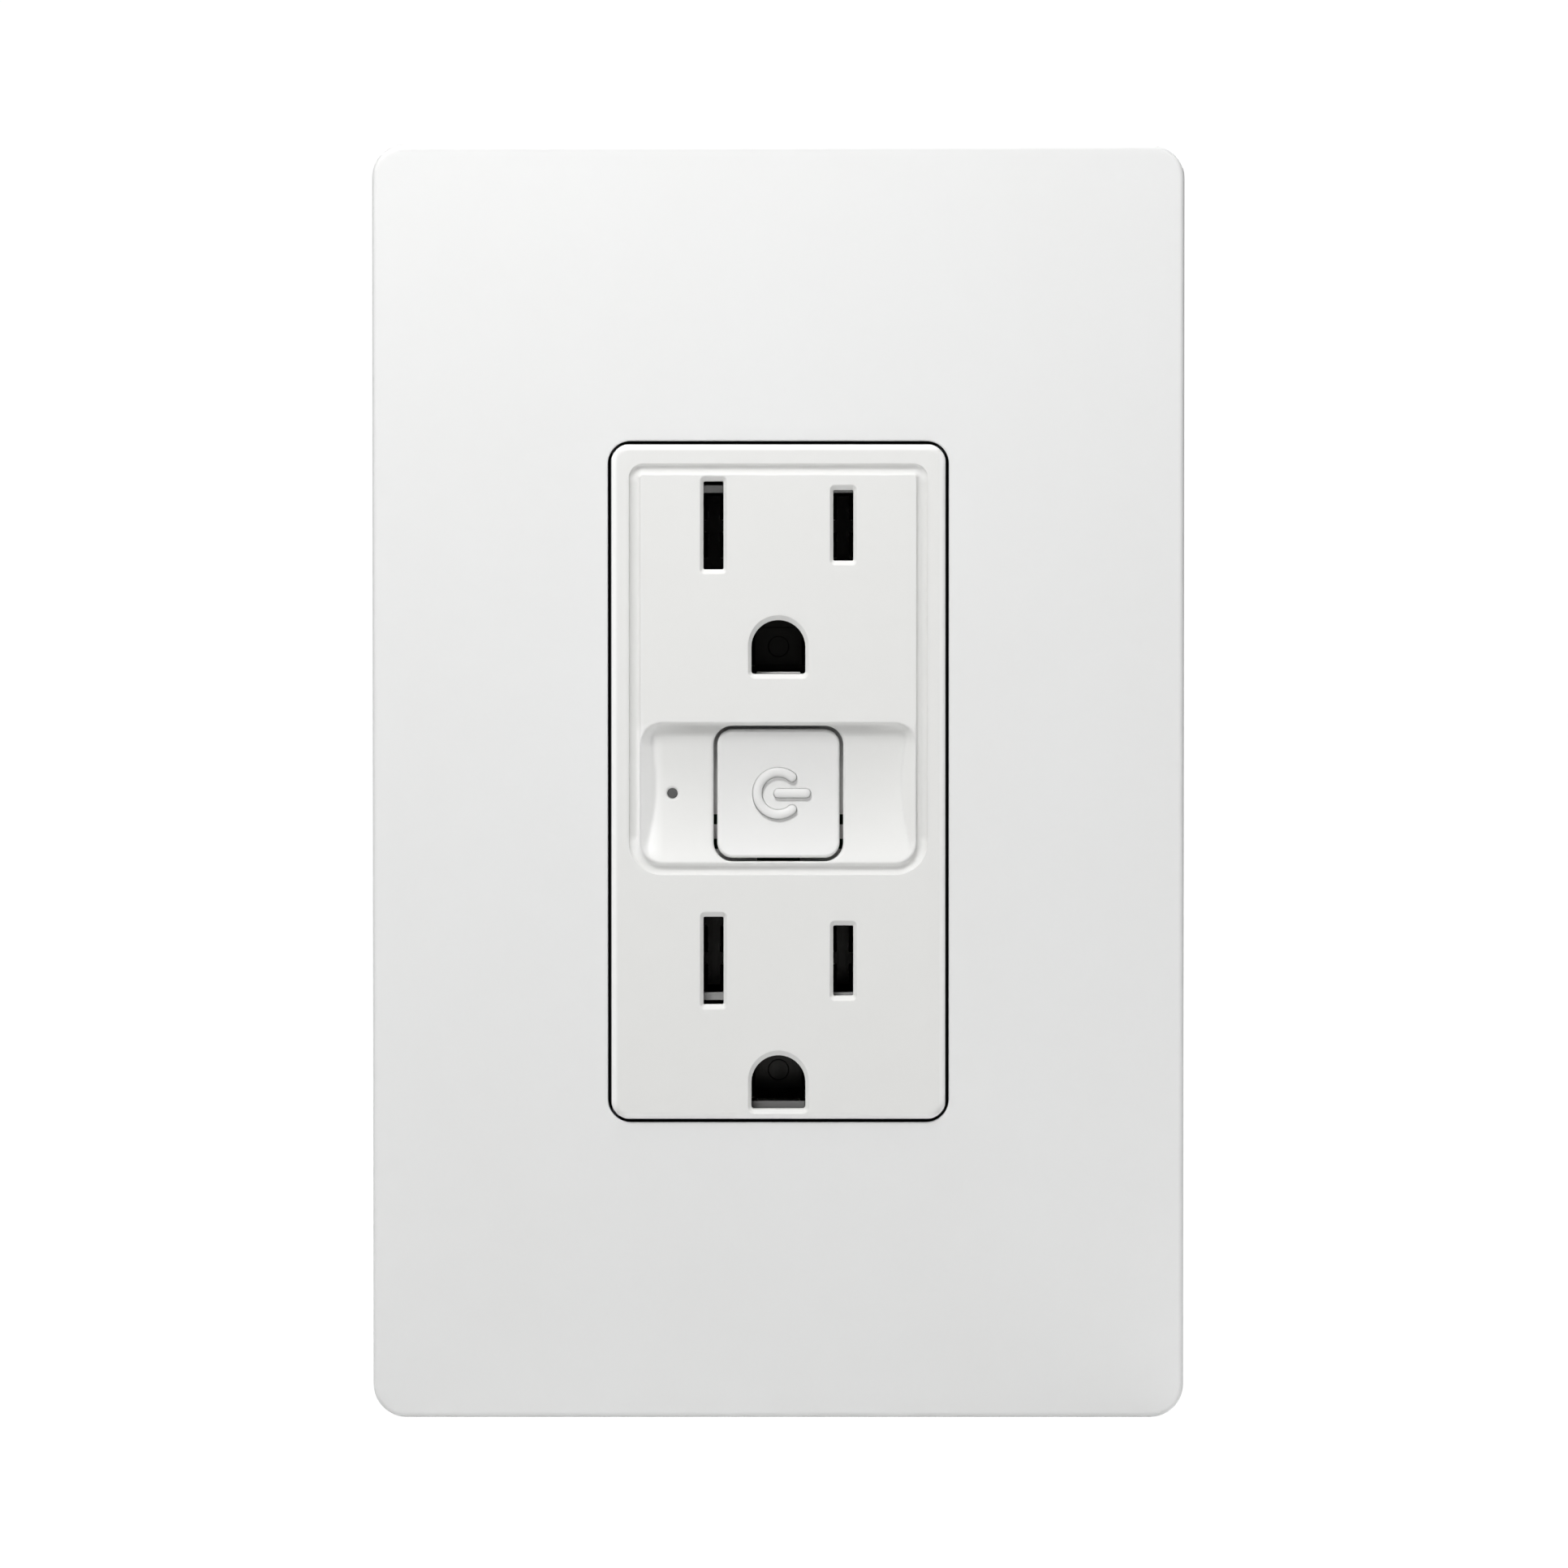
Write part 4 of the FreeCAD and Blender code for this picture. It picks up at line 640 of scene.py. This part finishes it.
soft_iron = metal("nickel plated iron", bright=(0.6, 0.59, 0.56, 1), dull=(0.45, 0.44, 0.42, 1),
                  rubbed=(0.7, 0.7, 0.68, 1), smooth=0.25, coarse=0.45)
dress("relay_frame", soft_iron)
dress("relay_armature", soft_iron)
dress("transformer_core", moulded("ferrite", tint=(0.03, 0.03, 0.033, 1), flow=(0.045, 0.045, 0.05, 1),
                                  worn=(0.09, 0.09, 0.095, 1), smooth=0.35, coarse=0.6, grain=2400.0,
                                  depth=0.00001, radius=0.0002))
dress("transformer_winding", winding("polyester tape", top=(0.72, 0.5, 0.06, 1),
                                     valley=(0.5, 0.33, 0.03, 1), turns=260.0, depth=0.00003,
                                     metallic=0.0))
# Each can is drawn in over its rubber bung and has a shrunk sleeve turned in at both rims.
sleeve = moulded("shrunk sleeve", tint=(0.012, 0.02, 0.045, 1), flow=(0.009, 0.015, 0.035, 1),
                 worn=(0.06, 0.07, 0.09, 1), smooth=0.22, coarse=0.38, grain=1500.0, depth=0.000006,
                 radius=0.0003)
low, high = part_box("electrolytic_capacitors")
can = (high.y - low.y) / 2
length = high.z - low.z
bung = [(0, 0.0002), (can * 0.78, 0.0002), (can * 0.88, 0.0), (can * 0.9, 0.0006), (can * 0.99, 0.001)]
groove = [(can, 0.0013), (can, 0.0018), (can * 0.9, 0.0022), (can * 0.9, 0.0024), (can, 0.0028)]
top_rim = [(can, length - 0.0005), (can * 0.96, length - 0.0001), (can * 0.86, length),
           (can * 0.82, length - 0.00025), (0, length - 0.00025)]
standing, faces = spun(bung + groove + top_rim, (0, 0, 0))
for side, x in (("left", low.x + can), ("right", high.x - can)):
    points = aimed(standing, (x, low.y + can, low.z), (0, 0, 1))
    piece = solid_piece("capacitor_" + side, points, faces, sleeve, "device", "can_sleeve", smooth=True)
    piece.data.set_sharp_from_angle(angle=math.radians(35))
    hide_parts("electrolytic_capacitors")
dress("film_capacitor", moulded("film capacitor box", tint=(0.72, 0.5, 0.03, 1),
                                flow=(0.66, 0.44, 0.02, 1), worn=(0.8, 0.6, 0.15, 1), smooth=0.28,
                                coarse=0.45, grain=1900.0, depth=0.000004, radius=0.00025))
dress("varistor", moulded("dipped epoxy", tint=(0.02, 0.09, 0.4, 1), flow=(0.015, 0.07, 0.33, 1),
                          worn=(0.06, 0.15, 0.45, 1), smooth=0.2, coarse=0.4, grain=900.0, depth=0.00002,
                          radius=0.0004))
dress("fuse_resistor", moulded("flameproof coat", tint=(0.08, 0.22, 0.14, 1), flow=(0.06, 0.18, 0.11, 1),
                               worn=(0.15, 0.3, 0.2, 1), smooth=0.4, coarse=0.6, grain=2600.0,
                               depth=0.00001, radius=0.0003))
dress("driver_chip", black)

# ---------------------------------------------------------------------------
# Side terminals.
# On each side a brass plate, a steel clamp plate and a 6-32 screw hold a bare
# wire: brass coloured on the hot side, silver on the neutral side, green below.
# ---------------------------------------------------------------------------

dress("neutral_terminal_plate", metal("tinned brass", bright=(0.66, 0.65, 0.62, 1),
                                      dull=(0.5, 0.49, 0.46, 1), rubbed=(0.74, 0.7, 0.6, 1), smooth=0.25,
                                      coarse=0.45))
dress("hot_terminal_plate", brass)
dress("neutral_clamp_plate", zinc)
dress("ground_clamp_plate", zinc)
brass_plate = metal("brass plated steel", bright=(0.78, 0.58, 0.24, 1), dull=(0.6, 0.42, 0.16, 1),
                    rubbed=(0.8, 0.72, 0.55, 1), smooth=0.18, coarse=0.38)
dress("hot_clamp_plate", brass_plate)
green_chromate = metal("green chromate", bright=(0.03, 0.22, 0.07, 1), dull=(0.02, 0.14, 0.05, 1),
                       rubbed=(0.3, 0.42, 0.32, 1), smooth=0.25, coarse=0.45)
bright_steel = metal("bright plated steel", bright=(0.66, 0.67, 0.68, 1), dull=(0.5, 0.51, 0.52, 1),
                     rubbed=(0.76, 0.76, 0.75, 1), smooth=0.18, coarse=0.36, radius=0.0001)


def blank_of(points, faces):
    """A bare mesh object, used to cut with or to be cut."""
    mesh = bpy.data.meshes.new("blank")
    mesh.from_pydata([tuple(p) for p in points], [], faces)
    blank = bpy.data.objects.new("blank", mesh)
    bpy.context.scene.collection.objects.link(blank)
    return blank


def carved(points, faces, cutters):
    """The solid less the cutters, each a (points, faces) pair, as new points and faces."""
    blank = blank_of(points, faces)
    tools = [blank_of(*cutter) for cutter in cutters]
    for tool in tools:
        cut = blank.modifiers.new("cut", "BOOLEAN")
        cut.operation = "DIFFERENCE"
        cut.solver = "EXACT"
        cut.object = tool
    made = bpy.data.meshes.new_from_object(blank.evaluated_get(bpy.context.evaluated_depsgraph_get()))
    points = [v.co.copy() for v in made.vertices]
    faces = [list(f.vertices) for f in made.polygons]
    for gone in [blank] + tools:
        bpy.data.objects.remove(gone)
    return points, faces


def rolled_thread(radius, pitch, start, stop, steps=32):
    """A shank with a rolled 60 degree thread, from depth start down to its chamfered tip at stop."""
    rows = max(8, int((start - stop) / pitch * 8))
    points, faces = [Vector((0, start, 0))], []
    for row in range(rows + 1):
        depth = start + (stop - start) * row / rows
        for step in range(steps):
            turn = 2 * math.pi * step / steps
            phase = (depth / pitch + step / steps) % 1.0
            flank = min(1.0, max(0.0, 1.25 - abs(phase - 0.5) * 2.5))
            r = radius - 0.6 * pitch * (1 - flank)
            r = min(r, radius - 0.45 * pitch + (depth - stop) * 0.8)
            points.append(Vector((r * math.cos(turn), depth, r * math.sin(turn))))
    points.append(Vector((0, stop, 0)))
    for step in range(steps):
        after = (step + 1) % steps
        faces.append((0, 1 + after, 1 + step))
        for row in range(rows):
            a, b = 1 + row * steps, 1 + (row + 1) * steps
            faces.append((a + step, a + after, b + after, b + step))
        last = 1 + rows * steps
        faces.append((last + step, last + after, len(points) - 1))
    return points, faces


def facing_out(points, faces):
    """The same faces, turned so that every one looks outwards."""
    solid = bmesh.new()
    corners = [solid.verts.new(p) for p in points]
    for face in faces:
        solid.faces.new([corners[i] for i in face])
    bmesh.ops.recalc_face_normals(solid, faces=solid.faces[:])
    solid.verts.index_update()
    points = [v.co.copy() for v in solid.verts]
    faces = [[v.index for v in face.verts] for face in solid.faces]
    solid.free()
    return points, faces


def pan_head(radius, height):
    """A pan head with a crossed driver recess, its bearing face at depth 0."""
    outline = [(0, 0), (radius * 0.97, 0), (radius, height * 0.06), (radius, height * 0.45),
               (radius * 0.97, height * 0.66), (radius * 0.88, height * 0.84),
               (radius * 0.74, height * 0.95), (radius * 0.5, height), (0, height)]
    long, wide, deep = radius * 0.62, radius * 0.12, height * 0.45
    slots = [bars([((-a, deep, -b), (a, height * 2, b))], slot_edge)
             for a, b in ((long, wide), (wide, long))]
    return carved(*facing_out(*spun(outline, (0, 0, 0), steps=64)), slots)


screw_radius, thread_pitch, neck_radius = 0.00175, 0.000794, 0.00135
head_radius, head_height, slot_edge = 0.0034, 0.002, 0.00005


def screw(name, node, body, finish, slot_name, seat, out, head, length, neck=0.0):
    """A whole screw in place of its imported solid: head, plain neck and rolled thread."""
    parts = [head, rolled_thread(screw_radius, thread_pitch, -neck, -length)]
    if neck > 0:
        sunk, overlap = 0.0002, 0.0004
        plain = [(0, sunk), (neck_radius, sunk), (neck_radius, -neck - overlap), (0, -neck - overlap)]
        parts.append(spun(plain, (0, 0, 0), steps=32))
    points, faces = gathered(parts)
    points, faces = facing_out(aimed(points, seat, out), faces)
    piece = solid_piece(name, points, faces, finish, body, slot_name, smooth=True)
    piece.data.set_sharp_from_angle(angle=math.radians(32))
    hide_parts(node)


pan = pan_head(head_radius, head_height)
for side, body, finish, slot_name in ((1, "hot", brass_plate, "brass_plated_steel"),
                                      (-1, "neutral", bright_steel, "plated_steel")):
    low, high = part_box(body + "_terminal_screw")
    seat = (low + high) / 2
    length = high.x - low.x - head_height
    seat.x = side * (max(abs(low.x), abs(high.x)) - head_height)
    screw(body + "_terminal_screw_cut", body + "_terminal_screw", body + "_screw", finish, slot_name,
          seat, (side, 0, 0), pan, length)
low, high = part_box("ground_screw")
seat = (low + high) / 2
seat.z = low.z + head_height
screw("ground_screw_cut", "ground_screw", "ground_screw", green_chromate, "green_steel", seat,
      (0, 0, -1), pan, high.z - low.z - head_height)

# ---------------------------------------------------------------------------
# Rear body and its screws.
# The deep box behind the strap: moulded from pale grey glass-filled nylon, with
# wire pockets, wire holes and a strip gauge. Four screws pull it to the face.
# ---------------------------------------------------------------------------

body_nylon = moulded("body nylon", tint=(0.5, 0.5, 0.485, 1), flow=(0.46, 0.46, 0.445, 1),
                     worn=(0.6, 0.6, 0.59, 1), smooth=0.42, coarse=0.6, grain=2600.0, depth=0.000008,
                     radius=0.00025)
dress("rear_body", body_nylon)
dress("body_screws", bright_steel)
# Low stiffening ribs cross the sunk panel on the back, with a round gate mark between them.
low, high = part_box("rear_body")
panel_z, rib_reach, rib_spacing, rib_half = 0.012, 0.0108, 0.0042, 0.0005
rib_foot, rib_top = high.y - 0.0005, high.y - 0.00008
ribs = [((-rib_reach, rib_foot, panel_z + step * rib_spacing - rib_half),
         (rib_reach, rib_top, panel_z + step * rib_spacing + rib_half)) for step in (-2, -1, 1, 2)]
solid_piece("rear_body_ribs", *bars(ribs, chamfer=0.00012), body_nylon, "device", "body_grey")
gate = [(0, -0.0005), (0.0021, -0.0005), (0.0021, -0.0002), (0.0019, -0.0001), (0.0012, -0.0001),
        (0.0010, -0.00025), (0.0004, -0.00025), (0.0003, -0.00005), (0, -0.00005)]
solid_piece("rear_body_gate_mark", *facing_out(*spun(gate, (0, high.y, panel_z))), body_nylon,
            "device", "body_grey")

# ---------------------------------------------------------------------------
# Box screws and washers.
# Two 6-32 screws hold the strap to the wall box, each with a red fibre washer
# that keeps it from falling out before it is driven.
# ---------------------------------------------------------------------------

low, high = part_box("box_screws")
for end, name in ((1, "box_screw_upper"), (-1, "box_screw_lower")):
    seat = Vector((0, low.y + head_height, end * (high.z - head_radius)))
    screw(name, "box_screws", "device", bright_steel, "plated_steel", seat, (0, -1, 0), pan,
          high.y - seat.y, neck=0.002)
dress("screw_retainers", moulded("vulcanised fibre", tint=(0.3, 0.07, 0.045, 1),
                                 flow=(0.24, 0.05, 0.035, 1), worn=(0.42, 0.15, 0.11, 1), smooth=0.55,
                                 coarse=0.8, grain=2200.0, depth=0.00001, radius=0.0001))

# ---------------------------------------------------------------------------
# Sub-plate and its screws.
# The hidden frame that is screwed to the strap; the wall plate pushes onto its
# four sockets. Moulded from white nylon with a dull skin.
# ---------------------------------------------------------------------------

dress("sub_plate", moulded("frame nylon", tint=(0.74, 0.74, 0.72, 1), flow=(0.7, 0.7, 0.68, 1),
                           worn=(0.78, 0.78, 0.77, 1), smooth=0.5, coarse=0.68, grain=2600.0,
                           depth=0.000005))


def countersunk_head(radius, height):
    """A flat head with one driver slot, its top at depth 0 and its cone below."""
    outline = [(0, 0), (radius * 0.98, 0), (radius, -height * 0.05),
               (radius * 0.55, -height * 0.98), (0, -height * 0.98)]
    half, deep, above = 0.0005, 0.0008, 0.001
    slot_bar = bars([((-radius * 1.2, -deep, -half), (radius * 1.2, above, half))], slot_edge)
    return carved(*facing_out(*spun(outline, (0, 0, 0), steps=64)), [slot_bar])


low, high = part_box("sub_plate_screws")
flat_head = countersunk_head(head_radius, height=0.0016)
for end, name in ((1, "sub_plate_screw_upper"), (-1, "sub_plate_screw_lower")):
    seat = Vector((0, low.y, end * (high.z - head_radius)))
    screw(name, "sub_plate_screws", "device", bright_steel, "plated_steel", seat, (0, -1, 0),
          flat_head, high.y - low.y)

# ---------------------------------------------------------------------------
# Wall plate.
# The plain cover: moulded from white polycarbonate in a polished mould, so it
# is glossier than the face. Four pegs hold it on the sub-plate.
# ---------------------------------------------------------------------------

plate_finish = moulded("plate polycarbonate", tint=(0.82, 0.824, 0.82, 1), flow=(0.812, 0.814, 0.808, 1),
                       worn=(0.86, 0.86, 0.855, 1), smooth=0.3, coarse=0.36, grain=5200.0,
                       depth=0.0000004, radius=0.0003)
tree = plate_finish.node_tree
shader = tree.nodes["Principled BSDF"]
# The wall of the opening is tinted dark as painted shade, for the narrow gap round the face.
painted_opening_shade = sum_of(tree, "MULTIPLY",
                      within(tree, half_width=0.01672, bottom=-0.03342, top=0.03342, blur=0.00004),
                      spread(tree, axis_of(tree, "Y"), -0.0062, -0.0056))
white = shader.inputs["Base Color"].links[0].from_socket
white = tint_between(tree, painted_opening_shade, white, (0.012, 0.012, 0.012, 1))
tree.links.new(white, shader.inputs["Base Color"])
dress("wall_plate", plate_finish)

# ---------------------------------------------------------------------------
# Floor, light and camera.
# A pale studio sheet, a soft light overhead, a soft key light at the upper left,
# a broad one far behind and a faint glow from above, as for a catalogue picture.
# ---------------------------------------------------------------------------

floor_mesh = bpy.data.meshes.new("floor")
reach, floor_gap = 6.0, 0.0002
floor_mesh.from_pydata([(-reach, -reach, 0), (reach, -reach, 0), (reach, reach, 0), (-reach, reach, 0)],
                       [], [(0, 1, 2, 3)])
floor = bpy.data.objects.new("floor", floor_mesh)
bpy.context.scene.collection.objects.link(floor)
floor.location.z = cad_box[0][2] - floor_gap
paper, tree, shader = new_finish("floor paper")
fibres = noise(tree, place_of(tree), scale=60.0, detail=3.0)
fill(tree, shader, {"Base Color": tint_between(tree, fibres, (0.86, 0.86, 0.86, 1), (0.9, 0.9, 0.9, 1)),
                    "Roughness": spread(tree, fibres, 0.3, 0.7, 0.8, 0.9)})
glow = put(tree, "ShaderNodeEmission", Color=(1, 1, 1, 1), Strength=1.08)
straight = tree.nodes.new("ShaderNodeLightPath").outputs["Is Camera Ray"]
both = put(tree, "ShaderNodeMixShader", _0=sum_of(tree, "MULTIPLY", straight, 0.93),
           _1=shader.outputs[0], _2=glow.outputs[0])
tree.links.new(both.outputs[0], tree.nodes["Material Output"].inputs["Surface"])
floor_mesh.materials.append(paper)

scene = bpy.context.scene
scene.view_settings.view_transform = "Standard"
studio = bpy.data.worlds.new("studio")
scene.world = studio
studio.use_nodes = True
tree = studio.node_tree
up = put(tree, "ShaderNodeSeparateXYZ", _0=tree.nodes.new("ShaderNodeTexCoord").outputs["Generated"])
sky = tree.nodes["Background"]
fill(tree, sky, {"Color": (1, 1, 1, 1), "Strength": spread(tree, up.outputs["Z"], 0.0, 1.0, 0.0, 0.27)})
seen_sky = put(tree, "ShaderNodeBackground", Color=(1, 1, 1, 1), Strength=1.02)
straight = tree.nodes.new("ShaderNodeLightPath").outputs["Is Camera Ray"]
both = put(tree, "ShaderNodeMixShader", _0=straight, _1=sky.outputs[0], _2=seen_sky.outputs[0])
tree.links.new(both.outputs[0], tree.nodes["World Output"].inputs["Surface"])


def lamp(name, place, size, power):
    """A square soft light that looks at the middle of the device."""
    data = bpy.data.lights.new(name, "AREA")
    data.energy = power
    data.size = size
    body = bpy.data.objects.new(name, data)
    scene.collection.objects.link(body)
    body.location = place
    body.rotation_euler = (-body.location).to_track_quat("-Z", "Y").to_euler()


lamp("overhead light", place=(0.0, -0.12, 0.5), size=0.2, power=0.46)
lamp("key light", place=(-0.075, -0.22, 0.28), size=0.1, power=1.04)
lamp("back light", place=(0.3, 0.75, 0.5), size=0.6, power=7.0)

camera_distance, view_width, film_width = 0.75, 0.15343, 36
camera_tilt = math.radians(1.2)
camera_data = bpy.data.cameras.new("camera")
camera = bpy.data.objects.new("camera", camera_data)
scene.collection.objects.link(camera)
scene.camera = camera
aim = Vector((0.00055, -0.0064, -0.00021))
camera.location = aim + Vector((0, -camera_distance * math.cos(camera_tilt),
                                camera_distance * math.sin(camera_tilt)))
camera.rotation_euler = (math.radians(90) - camera_tilt, 0, 0)
camera_data.sensor_width = film_width
camera_data.lens = film_width * camera_distance / view_width
